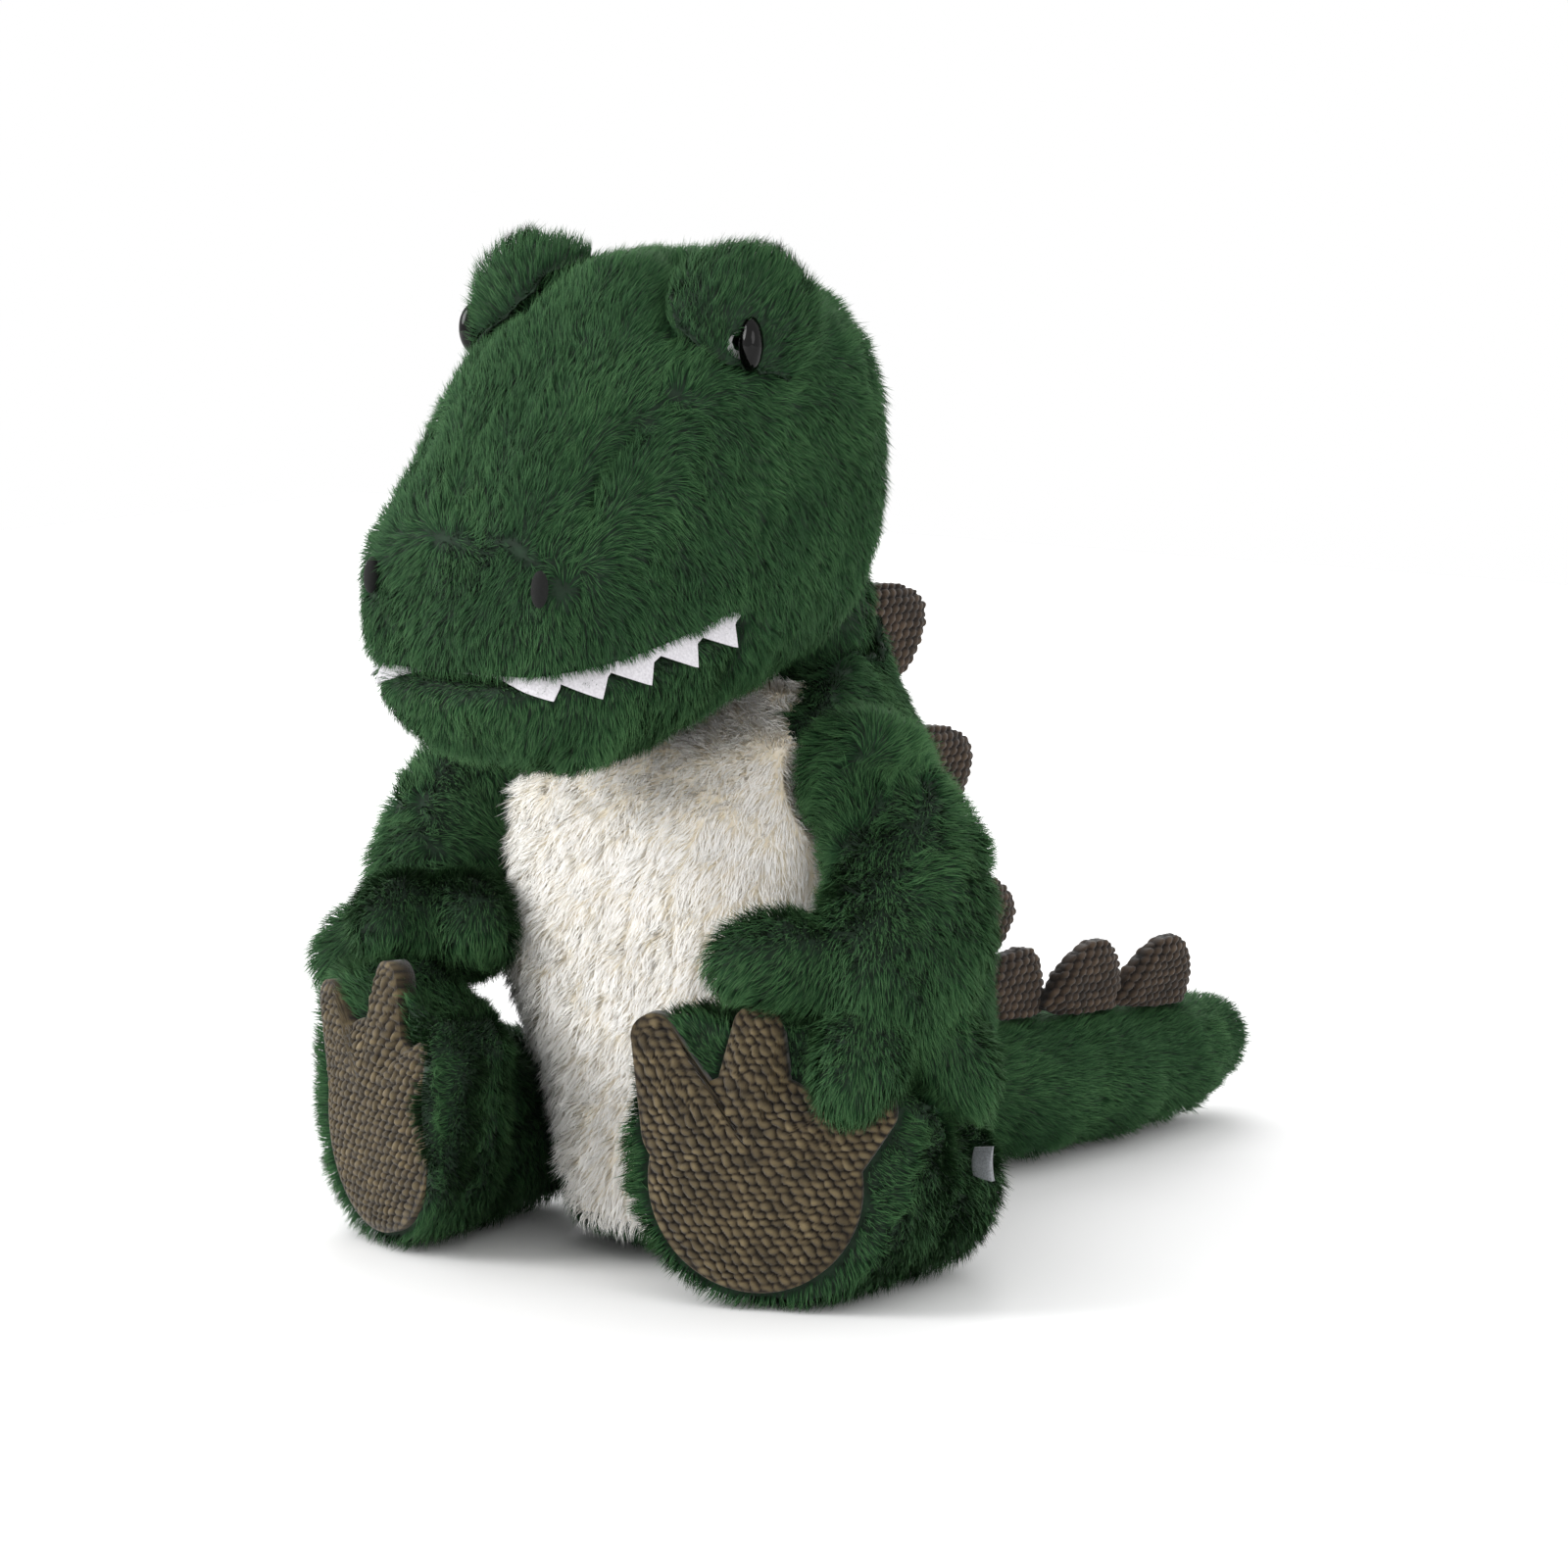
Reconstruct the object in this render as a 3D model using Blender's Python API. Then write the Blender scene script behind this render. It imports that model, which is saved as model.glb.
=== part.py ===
"""A seated stuffed toy dinosaur, modelled as its plush skins, fillings, knit pieces and eyes.

+X is the toy's own left, -Y its front and +Z up. The origin is on the floor under the
middle of the seat. Every skin is an open shell that its filling stands inside. The head
turns and nods on a stuffed neck ball, each arm swings outwards at its shoulder, each leg
swings down at its hip, and the tail wags at its root.
"""

import bmesh
import bpy
import numpy as np
from math import cos, hypot, pi, radians, sin
from mathutils import Matrix, Vector
from mathutils.bvhtree import BVHTree

# Fabric and fit
PLUSH = 0.004
GAP = 0.0004
BIG = 0.5

# Body
BODY_HEIGHT = 0.186
CHEST_HALF_WIDTH = 0.063
HIP_HALF_WIDTH = 0.043
BODY_FRONT = 0.072
BODY_BACK = 0.087
CHEST_LEAN = 0.037
BEAN_BAG_HEIGHT = 0.030
BELLY_HALF_WIDTH = 0.056
BELLY_BOTTOM = 0.016
BELLY_TOP = 0.164

# Neck
NECK_RADIUS = 0.029
NECK_Y = -0.002
NECK_Z = 0.178
NECK_TILT = radians(25)
NECK_CREASE = 0.005

# Head and jaw
HEAD_LENGTH = 0.160
HEAD_HALF_WIDTH = 0.0555
HEAD_HEIGHT = 0.137
HEAD_REAR = 0.011
HEAD_LIFT = -0.020
MOUTH_CORNER = -0.080
MOUTH_CORNER_SHARE = 0.284
MOUTH_SLOPE = 0.25
MOUTH_GAP = 0.0012
JAW_INSET = 0.0045
TOOTH_COUNT = 5
TOOTH_LENGTH = 0.0085
FELT = 0.0014

# Face
EYE_WIDTH = 0.010
EYE_HEIGHT = 0.016
EYE_DEPTH = 0.005
EYE_SHANK = 0.0025
EYE_WASHER = 0.006
BROW_X = 0.037
BROW_RADIUS = 0.0215
BROW_HEIGHT = 0.029
BROW_LEAN = radians(12)
NOSTRIL_RADIUS = 0.0042
NOSTRIL_SPREAD = 0.53
NOSTRIL_RISE = 0.365
EYE_RISE = 0.002

# Arms
SHOULDER_RADIUS = 0.019
SHOULDER_HEIGHT = 0.139
ARM_LENGTH = 0.066
ARM_RADIUS = 0.0240
FINGER_RADIUS = 0.0135
FINGER_REACH = 0.0480
HAND_DENT = 0.0020

# Legs
LEG_LENGTH = 0.090
THIGH_RADIUS = 0.0265
FOOT_RADIUS = 0.041
FOOT_HEIGHT = 0.0435
TOE_RADIUS = 0.0145
TOE_REACH = 0.0330
FOOT_SPLAY = radians(21)
LEFT_FOOT_ROLL = radians(18)
RIGHT_FOOT_ROLL = radians(-4)
SOLE = 0.0022
SOLE_BORDER = 0.0075
HIP_HEIGHT = 0.046

# Tail
TAIL_LENGTH = 0.142
TAIL_HALF_WIDTH = 0.0275
TAIL_HEIGHT = 0.044

# Spikes
SPIKE_HEIGHT = 0.024
SPIKE_HALF_WIDTH = 0.016
SPIKE_THICKNESS = 0.008


def material(name, colour, roughness):
    made = bpy.data.materials.new(name)
    made.use_nodes = True
    shader = made.node_tree.nodes["Principled BSDF"]
    shader.inputs["Base Color"].default_value = (*colour, 1.0)
    shader.inputs["Roughness"].default_value = roughness
    return made


def piece(name, points, faces):
    """An object from points and faces, with its faces turned to point outwards."""
    mesh = bpy.data.meshes.new(name)
    mesh.from_pydata(np.asarray(points).tolist(), [], faces)
    shaped = bmesh.new()
    shaped.from_mesh(mesh)
    bmesh.ops.recalc_face_normals(shaped, faces=shaped.faces)
    bmesh.ops.triangulate(shaped, faces=shaped.faces)
    shaped.to_mesh(mesh)
    shaped.free()
    mesh.shade_smooth()
    mesh.set_sharp_from_angle(angle=radians(50))
    made = bpy.data.objects.new(name, mesh)
    bpy.context.scene.collection.objects.link(made)
    return made


def loft(name, rings, start, end):
    """A closed skin over rings of equal length, drawn together at a start and an end point."""
    count = len(rings[0])
    points = np.concatenate([np.concatenate(rings), [start, end]])
    first, last = len(points) - 2, len(points) - 1
    faces = []
    for ring in range(len(rings) - 1):
        for i in range(count):
            j = (i + 1) % count
            low, high = ring * count, (ring + 1) * count
            faces.append((low + i, low + j, high + j, high + i))
    top = (len(rings) - 1) * count
    for i in range(count):
        j = (i + 1) % count
        faces.append((first, j, i))
        faces.append((last, top + i, top + j))
    return piece(name, points, faces)


def ellipsoid(name, centre, radii, turn=None, sides=14, rows=7):
    """A ball with three half-axes, turned by a rotation matrix."""
    turn = np.array(turn or Matrix.Identity(3))
    around = np.linspace(0, 2 * pi, sides, endpoint=False)
    rings = []
    for angle in np.linspace(0, pi, rows + 2)[1:-1]:
        level = np.full(sides, cos(angle))
        ring = np.stack([sin(angle) * np.cos(around), sin(angle) * np.sin(around), level], 1)
        rings.append(ring * radii @ turn.T + centre)
    top = np.array((0, 0, radii[2])) @ turn.T
    return loft(name, rings, top + centre, centre - top)


def socket(name, centre, radius, sides=14, rows=7):
    """A ball cutter whose flat facets all stay outside the given radius."""
    outside = (radius + GAP) / (cos(pi / sides) * cos(pi / (2 * rows)))
    return ellipsoid(name, centre, (outside, outside, outside), None, sides, rows)


def rod(name, start, direction, radius, length, sides=10):
    """A round rod from a start point along a direction."""
    turn = np.array(Vector(direction).to_track_quat("Z", "Y").to_matrix())
    around = np.linspace(0, 2 * pi, sides, endpoint=False)
    ring = np.stack([np.cos(around) * radius, np.sin(around) * radius, 0 * around], 1) @ turn.T
    step = turn[:, 2] * length
    return loft(name, [ring + start, ring + start + step], start, start + step)


def prism(name, outline, low, high):
    """A solid with an outline in X and Z, or in Y and Z, drawn out between two planes."""
    axis, first, second = outline
    flat = np.zeros((len(first), 3))
    flat[:, 1 - axis] = first
    flat[:, 2] = second
    near, far = flat.copy(), flat.copy()
    near[:, axis], far[:, axis] = low, high
    return loft(name, [near, far], near.mean(0), far.mean(0))


def box_shape(low, high):
    xs, ys, zs = zip(low, high)
    corners = [(x, y, z) for x in xs for y in ys for z in zs]
    faces = [(0, 1, 3, 2), (4, 6, 7, 5), (0, 4, 5, 1), (2, 3, 7, 6), (0, 2, 6, 4), (1, 5, 7, 3)]
    return corners, faces


def half_space(name, place, direction):
    """A block that fills everything beyond a plane through a point."""
    block = piece(name, *box_shape((-BIG, -BIG, 0.0), (BIG, BIG, BIG)))
    block.data.transform(Vector(direction).to_track_quat("Z", "Y").to_matrix().to_4x4())
    block.data.transform(Matrix.Translation(Vector(place)))
    return block


def combine(target, tool, operation):
    """Joins, cuts or intersects target with tool, keeps the result and removes tool."""
    cut = target.modifiers.new(operation, "BOOLEAN")
    cut.operation = operation
    cut.solver = "EXACT"
    cut.object = tool
    bpy.context.view_layer.update()
    graph = bpy.context.evaluated_depsgraph_get()
    result = bpy.data.meshes.new_from_object(target.evaluated_get(graph))
    target.modifiers.remove(cut)
    target.data = weld(result)
    bpy.data.objects.remove(tool)
    return target


def weld(mesh):
    """Merges points a hundredth of a millimetre apart and dissolves the slivers that a cut leaves."""
    shaped = bmesh.new()
    shaped.from_mesh(mesh)
    bmesh.ops.remove_doubles(shaped, verts=shaped.verts, dist=0.00001)
    bmesh.ops.dissolve_degenerate(shaped, dist=0.00001, edges=shaped.edges)
    bmesh.ops.triangulate(shaped, faces=shaped.faces)
    shaped.to_mesh(mesh)
    shaped.free()
    return mesh


def join(target, *tools):
    for tool in tools:
        combine(target, tool, "UNION")
    return target


def cut(target, *tools):
    for tool in tools:
        combine(target, tool, "DIFFERENCE")
    return target


def keep(target, tool):
    return combine(target, tool, "INTERSECT")


def finish_piece(made, name, finish, pivot=(0, 0, 0)):
    """Names a finished piece, gives it one material and puts its origin on its joint's axis."""
    made.name = name
    made.data.name = name
    made.data.materials.clear()
    made.data.materials.append(finish)
    made.data.transform(Matrix.Translation(-Vector(pivot)))
    made.location = pivot
    made.data.shade_smooth()
    made.data.set_sharp_from_angle(angle=radians(50))
    return made


def sides_for(inset, sides):
    """Full detail outside, and a coarser round where only filling meets the skin."""
    return sides if inset < PLUSH else 2 * round(sides / 3)


def superellipse(count, power):
    """Unit superellipse points (first, second), from the first axis round to the second."""
    around = np.linspace(0, 2 * pi, count, endpoint=False)
    first, second = np.cos(around), np.sin(around)
    return np.sign(first) * abs(first) ** (2 / power), np.sign(second) * abs(second) ** (2 / power)


# ---------------------------------------------------------------- body
# Height, half-width as shares of the hip and of the chest, how far the widest part leans
# forward, front and back depths, and how square the back is (a low power ends in a ridge).
BODY_STATIONS = np.array([
    (0.00, 0.86, 0.00, 0.05, 0.78, 0.76, 2.2),
    (0.05, 0.97, 0.00, 0.05, 1.05, 0.92, 2.2),
    (0.15, 1.00, 0.00, 0.30, 1.08, 1.00, 2.1),
    (0.28, 1.00, 0.02, 0.60, 1.04, 1.01, 2.0),
    (0.41, 0.35, 0.62, 0.76, 1.02, 0.97, 1.8),
    (0.56, 0.00, 1.00, 0.80, 1.00, 0.84, 1.6),
    (0.69, 0.00, 0.97, 0.86, 1.00, 0.68, 1.5),
    (0.77, 0.00, 0.90, 0.97, 0.92, 0.58, 1.5),
    (0.85, 0.00, 0.72, 0.81, 0.75, 0.50, 1.5),
    (0.925, 0.00, 0.52, 0.38, 0.53, 0.42, 1.6),
    (1.00, 0.00, 0.38, 0.11, 0.36, 0.32, 1.8),
])
BODY_HEIGHTS = BODY_STATIONS[:, 0] * BODY_HEIGHT
BODY_WIDTHS = BODY_STATIONS[:, 1] * HIP_HALF_WIDTH + BODY_STATIONS[:, 2] * CHEST_HALF_WIDTH
BODY_MIDDLES = -BODY_STATIONS[:, 3] * CHEST_LEAN
BODY_FRONTS = BODY_STATIONS[:, 4] * BODY_FRONT
BODY_BACKS = BODY_STATIONS[:, 5] * BODY_BACK


def body_shape(name, inset):
    """The body's outside, drawn in by an inset."""
    count = sides_for(inset, 24)
    rings = []
    powers = BODY_STATIONS[:, 6]
    stations = zip(BODY_HEIGHTS, BODY_WIDTHS, BODY_MIDDLES, BODY_FRONTS, BODY_BACKS, powers)
    for height, width, middle, front, back, power in stations:
        front_x, front_y = superellipse(count, 2.7)
        back_x, back_y = superellipse(count, power)
        behind = back_y > 0
        across = np.where(behind, back_x, front_x) * (width - inset)
        rear, fore = back_y * (back - middle - inset), front_y * (front + middle - inset)
        depth = middle + np.where(behind, rear, fore)
        rings.append(np.stack([across, depth, np.full(count, max(height, inset))], 1))
    top = np.array((0.0, 0.0, BODY_HEIGHT + 0.006 - inset))
    return loft(name, rings, np.array((0.0, 0.0, inset)), top)


def body_back(height):
    return float(np.interp(height, BODY_HEIGHTS, BODY_BACKS))


def body_width(height):
    return float(np.interp(height, BODY_HEIGHTS, BODY_WIDTHS))


def body_front(height):
    return float(np.interp(height, BODY_HEIGHTS, BODY_FRONTS))


NECK = np.array((0.0, NECK_Y, NECK_Z))
NECK_AXIS = np.array((0.0, -sin(NECK_TILT), cos(NECK_TILT)))
SHOULDER_X = body_width(SHOULDER_HEIGHT) + 0.006
SHOULDER_Y = -0.66 * body_front(SHOULDER_HEIGHT)
HIP_GAP = 0.0012
HIP_X = HIP_HALF_WIDTH + HIP_GAP
TAIL_BALL = TAIL_HEIGHT / 2
TAIL_ROOT = np.array((0.0, body_back(TAIL_BALL) - 0.001, TAIL_BALL + 0.002))


def beyond_neck(name, side, clearance):
    """The half space above (side 1) or below (side -1) the tilted parting of the neck."""
    return half_space(name, NECK + NECK_AXIS * side * clearance, NECK_AXIS * side)


def joint_cuts(clear):
    """What the neck, the arms and the tail take out of the body and its filling."""
    return [
        beyond_neck("neck_parting", 1, -NECK_CREASE / 2 - clear),
        socket("neck_socket", NECK, NECK_RADIUS + clear),
        arm_shape("left_arm_room", 1, -HAND_DENT - clear),
        arm_shape("right_arm_room", -1, -HAND_DENT - clear),
        socket("tail_socket", TAIL_ROOT, TAIL_BALL + clear),
    ]


def belly_window(name, clearance):
    """The belly's outline in X and Z: wide at the chest and a rounded point at the seat."""
    share = np.linspace(0, pi, 11)
    middle = (BELLY_TOP + BELLY_BOTTOM) / 2
    reach = (BELLY_TOP - BELLY_BOTTOM) / 2 - clearance
    height = middle - reach * np.cos(share)
    width = (BELLY_HALF_WIDTH - clearance) * np.sin(share) ** 0.75 * (0.86 + 0.14 * np.sin(share - 0.6))
    outline = np.concatenate([np.stack([width, height], 1)[:-1], np.stack([-width, height], 1)[:0:-1]])
    return prism(name, (1, outline[:, 0], outline[:, 1]), -BIG, NECK_Y - NECK_RADIUS / 2)


def make_body(plush, belly, filling, beans):
    skin = cut(body_shape("body_skin", 0), body_shape("body_hollow", PLUSH), *joint_cuts(0))
    panel = body_shape("belly_panel", 0)
    cut(panel, body_shape("belly_hollow", PLUSH), *joint_cuts(0))
    keep(panel, belly_window("belly_outline", GAP))
    cut(skin, belly_window("belly_hole", 0))
    finish_piece(skin, "body_skin", plush)
    finish_piece(panel, "belly_panel", belly)

    wall = PLUSH + GAP
    level = wall + BEAN_BAG_HEIGHT
    stuffing = body_shape("body_stuffing", wall)
    cut(stuffing, piece("bag_room", *box_shape((-BIG, -BIG, -BIG), (BIG, BIG, level + GAP))))
    cut(stuffing, *joint_cuts(GAP))
    finish_piece(stuffing, "body_stuffing", filling)
    bag = body_shape("bean_bag", wall + 0.003)
    cut(bag, piece("bag_top", *box_shape((-BIG, -BIG, level), (BIG, BIG, BIG))))
    cut(bag, socket("bag_tail_room", TAIL_ROOT, TAIL_BALL + GAP))
    finish_piece(bag, "bean_bag", beans)


# ---------------------------------------------------------------- neck
def make_neck(plush, filling):
    ball = ellipsoid("neck_skin", NECK, [NECK_RADIUS] * 3, None, 16, 8)
    hollow = ellipsoid("neck_hollow", NECK, [NECK_RADIUS - PLUSH] * 3, None, 10, 5)
    opening = rod("neck_opening", NECK, -NECK_AXIS, NECK_RADIUS * 0.4, NECK_RADIUS * 2)
    finish_piece(cut(ball, hollow, opening), "neck_skin", plush, NECK)
    core = ellipsoid("neck_stuffing", NECK, [NECK_RADIUS - PLUSH - GAP * 4] * 3, None, 10, 5)
    finish_piece(core, "neck_stuffing", filling, NECK)


# ---------------------------------------------------------------- head
# Distance from the rear, half-width, underside and top, as shares of the head's own sizes.
HEAD_STATIONS = np.array([
    (0.035, 0.46, 0.360, 0.800),
    (0.110, 0.78, 0.210, 0.915),
    (0.230, 0.96, 0.120, 0.965),
    (0.390, 1.00, 0.065, 1.000),
    (0.540, 1.00, 0.015, 0.980),
    (0.670, 0.95, -0.035, 0.855),
    (0.790, 0.88, -0.045, 0.705),
    (0.895, 0.79, 0.000, 0.585),
    (0.965, 0.60, 0.095, 0.470),
])
HEAD_YS = HEAD_REAR - HEAD_STATIONS[:, 0] * HEAD_LENGTH
HEAD_WIDTHS = HEAD_STATIONS[:, 1] * HEAD_HALF_WIDTH
HEAD_FLOOR = NECK_Z + HEAD_LIFT - 0.08 * HEAD_HEIGHT
HEAD_LOWS = HEAD_FLOOR + HEAD_STATIONS[:, 2] * HEAD_HEIGHT
HEAD_TOPS = HEAD_FLOOR + HEAD_STATIONS[:, 3] * HEAD_HEIGHT
HEAD_POWER = 2.5
NOSE_SHARE = 0.29
MOUTH_REAR_Z = HEAD_FLOOR + HEAD_HEIGHT * MOUTH_CORNER_SHARE


def head_shape(name, inset):
    """The head and snout as one form along Y, drawn in by an inset."""
    wide, tall = superellipse(sides_for(inset, 24), HEAD_POWER)
    rings = []
    for y, width, low, top in zip(HEAD_YS, HEAD_WIDTHS, HEAD_LOWS, HEAD_TOPS):
        middle, half = (low + top) / 2, (top - low) / 2 - inset
        ring = np.stack([wide * (width - inset), 0 * wide + y, tall * half + middle], 1)
        rings.append(ring)
    rear = np.array((0.0, HEAD_REAR - inset, HEAD_FLOOR + 0.58 * HEAD_HEIGHT))
    nose = np.array((0.0, HEAD_REAR - HEAD_LENGTH + inset, HEAD_FLOOR + NOSE_SHARE * HEAD_HEIGHT))
    rings[0][:, 1] = np.minimum(rings[0][:, 1], rear[1] - 0.001)
    rings[-1][:, 1] = np.maximum(rings[-1][:, 1], nose[1] + 0.001)
    return loft(name, rings, rear, nose)


def mouth_z(y):
    """Height of the mouth seam, which rises towards its rear corners."""
    return MOUTH_REAR_Z + (y - MOUTH_CORNER) * MOUTH_SLOPE


def jaw_room(name, grow):
    """The wedge under the mouth seam and in front of the mouth's corners."""
    rear, front = MOUTH_CORNER + grow, -BIG
    ys = np.array((rear, front, front, rear))
    zs = np.array((mouth_z(rear) + grow, mouth_z(front) + grow, -BIG, -BIG))
    return prism(name, (0, ys, zs), -BIG, BIG)


def face_point(surface, aim, direction):
    """Where a line towards aim first meets the surface, and the surface's normal there."""
    start = Vector(aim) - Vector(direction) * BIG
    place, normal, _, _ = surface.ray_cast(start, Vector(direction))
    return np.array(place), np.array(normal)


def surface_of(made):
    bpy.context.view_layer.update()
    return BVHTree.FromObject(made, bpy.context.evaluated_depsgraph_get())


def mouth_outline(inset, count):
    """Points along the snout's outline in the mouth plane, from corner to corner."""
    tip = HEAD_REAR - HEAD_LENGTH + inset
    ys = MOUTH_CORNER + (tip - MOUTH_CORNER) * np.sin(np.linspace(0, pi / 2, 60))
    stations = HEAD_YS[::-1]
    nose_low = HEAD_FLOOR + NOSE_SHARE * HEAD_HEIGHT
    along = np.concatenate([[HEAD_REAR - HEAD_LENGTH], stations])
    width = np.interp(ys, along, np.concatenate([[0.0], HEAD_WIDTHS[::-1]])) - inset
    low = np.interp(ys, along, np.concatenate([[nose_low], HEAD_LOWS[::-1]]))
    top = np.interp(ys, along, np.concatenate([[nose_low], HEAD_TOPS[::-1]]))
    half = np.maximum((top - low) / 2 - inset, 1e-6)
    share = np.clip(abs(mouth_z(ys) - (low + top) / 2) / half, 0, 1)
    xs = np.maximum(width, 0) * (1 - share**HEAD_POWER) ** (1 / HEAD_POWER)
    xs[-1] = 0.0
    path = np.concatenate([np.stack([xs, ys], 1), np.stack([-xs, ys], 1)[-2::-1]])
    run = np.concatenate([[0], np.cumsum(np.hypot(*np.diff(path, axis=0).T))])
    at = np.linspace(0, run[-1], count)
    return np.stack([np.interp(at, run, path[:, 0]), np.interp(at, run, path[:, 1])], 1)


def make_teeth(felt):
    """One felt strip round the snout under the upper lip, cut into sloping teeth at the sides."""
    count = 2 * (4 * TOOTH_COUNT + 6) + 1
    inner = mouth_outline(JAW_INSET - GAP * 1.5, count)
    outer = mouth_outline(JAW_INSET - GAP * 1.5 - FELT, count)
    steps = np.arange(count)
    from_corner = np.minimum(steps, count - 1 - steps)
    tooth = from_corner < 4 * TOOTH_COUNT
    saw = np.array((0.30, 1.0, 0.62, 0.42))[from_corner % 4]
    drop = np.where(tooth, saw, 0.30) * TOOTH_LENGTH
    top = mouth_z(inner[:, 1]) - MOUTH_GAP * 0.75
    rings = []
    for i in range(1, count - 1):
        low = top[i] - drop[i]
        rings.append(np.array([
            (*inner[i], top[i]),
            (*outer[i], top[i]),
            (*outer[i], low),
            (*inner[i], low),
        ]))
    strip = loft("teeth_felt", rings, rings[0].mean(0), rings[-1].mean(0))
    return finish_piece(strip, "teeth_felt", felt, NECK)


def make_eye(side, label, place, normal, gloss, plastic):
    """A glossy dome on a shank that a washer locks behind the brow's skin."""
    turn = Vector(normal).to_track_quat("Z", "Y").to_matrix()
    seat = place + normal * GAP * 3
    dome = ellipsoid("eye", seat, (EYE_WIDTH / 2, EYE_HEIGHT / 2, EYE_DEPTH), turn, 12, 6)
    cut(dome, half_space("eye_back", seat, -normal))
    shank = rod("shank", seat + normal * 0.001, -normal, EYE_SHANK, PLUSH + 0.0075)
    finish_piece(join(dome, shank), "eye_" + label, gloss, NECK)
    inside = place - normal * (PLUSH + 0.0022)
    washer = rod("washer", inside, -normal, EYE_WASHER, 0.002, 14)
    cut(washer, rod("washer_hole", inside + normal * 0.002, -normal, EYE_SHANK + GAP, 0.008, 8))
    finish_piece(washer, "eye_washer_" + label, plastic, NECK)


def brow_frame(side):
    """Centre, half-axes and turn of a brow's dome."""
    y, z = HEAD_REAR - 0.47 * HEAD_LENGTH, HEAD_FLOOR + 0.805 * HEAD_HEIGHT
    radii = np.array((BROW_RADIUS * 0.86, BROW_RADIUS * 1.12, BROW_HEIGHT))
    return np.array((side * BROW_X, y, z)), radii, Matrix.Rotation(side * BROW_LEAN, 3, "Y")


def eye_seat(side):
    """Where the eye stands on the brow's outer side, and the surface's normal there."""
    centre, radii, turn = brow_frame(side)
    dome = ellipsoid("dome", centre, radii, turn, 14, 7)
    aim = centre + np.array((0.0, 0.0, EYE_RISE))
    seat = face_point(surface_of(dome), aim, (-side * 0.66, 0.75, 0.0))
    bpy.data.objects.remove(dome)
    return seat


def eye_room(side):
    """The round space that an eye's washer and shank take behind the skin."""
    place, normal = eye_seat(side)
    return rod("eye_room", place, -normal, EYE_WASHER + GAP * 2, PLUSH + 0.0085, 12)


def make_brow(side, label, plush, filling, gloss, plastic):
    """A small stuffed dome whose open base follows the head's top and whose side carries the eye."""
    centre, radii, turn = brow_frame(side)
    place, normal = eye_seat(side)
    skin = ellipsoid("brow", centre, radii, turn, 14, 7)
    cut(skin, ellipsoid("brow_hollow", centre, radii - PLUSH, turn, 10, 5), head_shape("head_under", -GAP))
    cut(skin, rod("eye_hole", place + normal * 0.01, -normal, EYE_SHANK + GAP, 0.016))
    finish_piece(skin, "brow_skin_" + label, plush, NECK)
    pad = ellipsoid("pad", centre, radii - PLUSH - GAP * 1.5, turn, 10, 5)
    cut(pad, head_shape("head_under", -GAP), eye_room(side))
    finish_piece(pad, "brow_stuffing_" + label, filling, NECK)
    make_eye(side, label, place, normal, gloss, plastic)


def make_head(plush, filling, felt, gloss, plastic, thread):
    surface_object = head_shape("head_surface", 0)
    surface = surface_of(surface_object)
    skin = head_shape("head_skin", 0)
    hollow = head_shape("head_hollow", PLUSH)
    cut(hollow, jaw_room("jaw_wall", PLUSH))
    cut(skin, jaw_room("jaw_space", 0), hollow)
    cut(skin, beyond_neck("head_parting", -1, -NECK_CREASE / 2), socket("head_socket", NECK, NECK_RADIUS))
    finish_piece(cut(skin, eye_room(1), eye_room(-1)), "head_skin", plush, NECK)

    stuffing = head_shape("head_stuffing", PLUSH + GAP)
    cut(stuffing, jaw_room("jaw_wall", PLUSH + GAP))
    cut(stuffing, beyond_neck("head_parting", -1, -NECK_CREASE / 2 - GAP))
    cut(stuffing, socket("head_socket", NECK, NECK_RADIUS + GAP))
    finish_piece(cut(stuffing, eye_room(1), eye_room(-1)), "head_stuffing", filling, NECK)

    jaw = head_shape("jaw_skin", JAW_INSET)
    keep(jaw, jaw_room("jaw_outline", -MOUTH_GAP))
    pocket = head_shape("jaw_hollow", JAW_INSET + PLUSH)
    keep(pocket, jaw_room("jaw_pocket", -MOUTH_GAP - PLUSH))
    cut(jaw, pocket, jaw_opening())
    finish_piece(jaw, "jaw_skin", plush, NECK)
    fill = head_shape("jaw_stuffing", JAW_INSET + PLUSH + GAP)
    keep(fill, jaw_room("jaw_pocket", -MOUTH_GAP - PLUSH - GAP))
    finish_piece(fill, "jaw_stuffing", filling, NECK)

    make_teeth(felt)
    for side, label in ((1, "left"), (-1, "right")):
        make_brow(side, label, plush, filling, gloss, plastic)
        aim = (side * HEAD_HALF_WIDTH * NOSTRIL_SPREAD, 0.0, HEAD_FLOOR + NOSTRIL_RISE * HEAD_HEIGHT)
        place, normal = face_point(surface, aim, (0.0, 1.0, 0.0))
        turn = Vector(normal).to_track_quat("Z", "Y").to_matrix()
        seat = place + normal * GAP * 3
        pad = ellipsoid("nostril", seat, (NOSTRIL_RADIUS, NOSTRIL_RADIUS * 1.2, 0.0022), turn, 12, 6)
        finish_piece(cut(pad, half_space("nostril_back", seat, -normal)), "nostril_" + label, thread, NECK)
    bpy.data.objects.remove(surface_object)


def jaw_opening():
    """A slot through the jaw skin's rear wall, where its filling meets the head's."""
    roof = mouth_z(MOUTH_CORNER) - MOUTH_GAP - PLUSH
    low, high = (HEAD_HALF_WIDTH * side * 0.55 for side in (-1, 1))
    rear, front = MOUTH_CORNER + PLUSH, MOUTH_CORNER - PLUSH * 2
    return piece("jaw_opening", *box_shape((low, front, roof - 0.014), (high, rear, roof - 0.003)))


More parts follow.
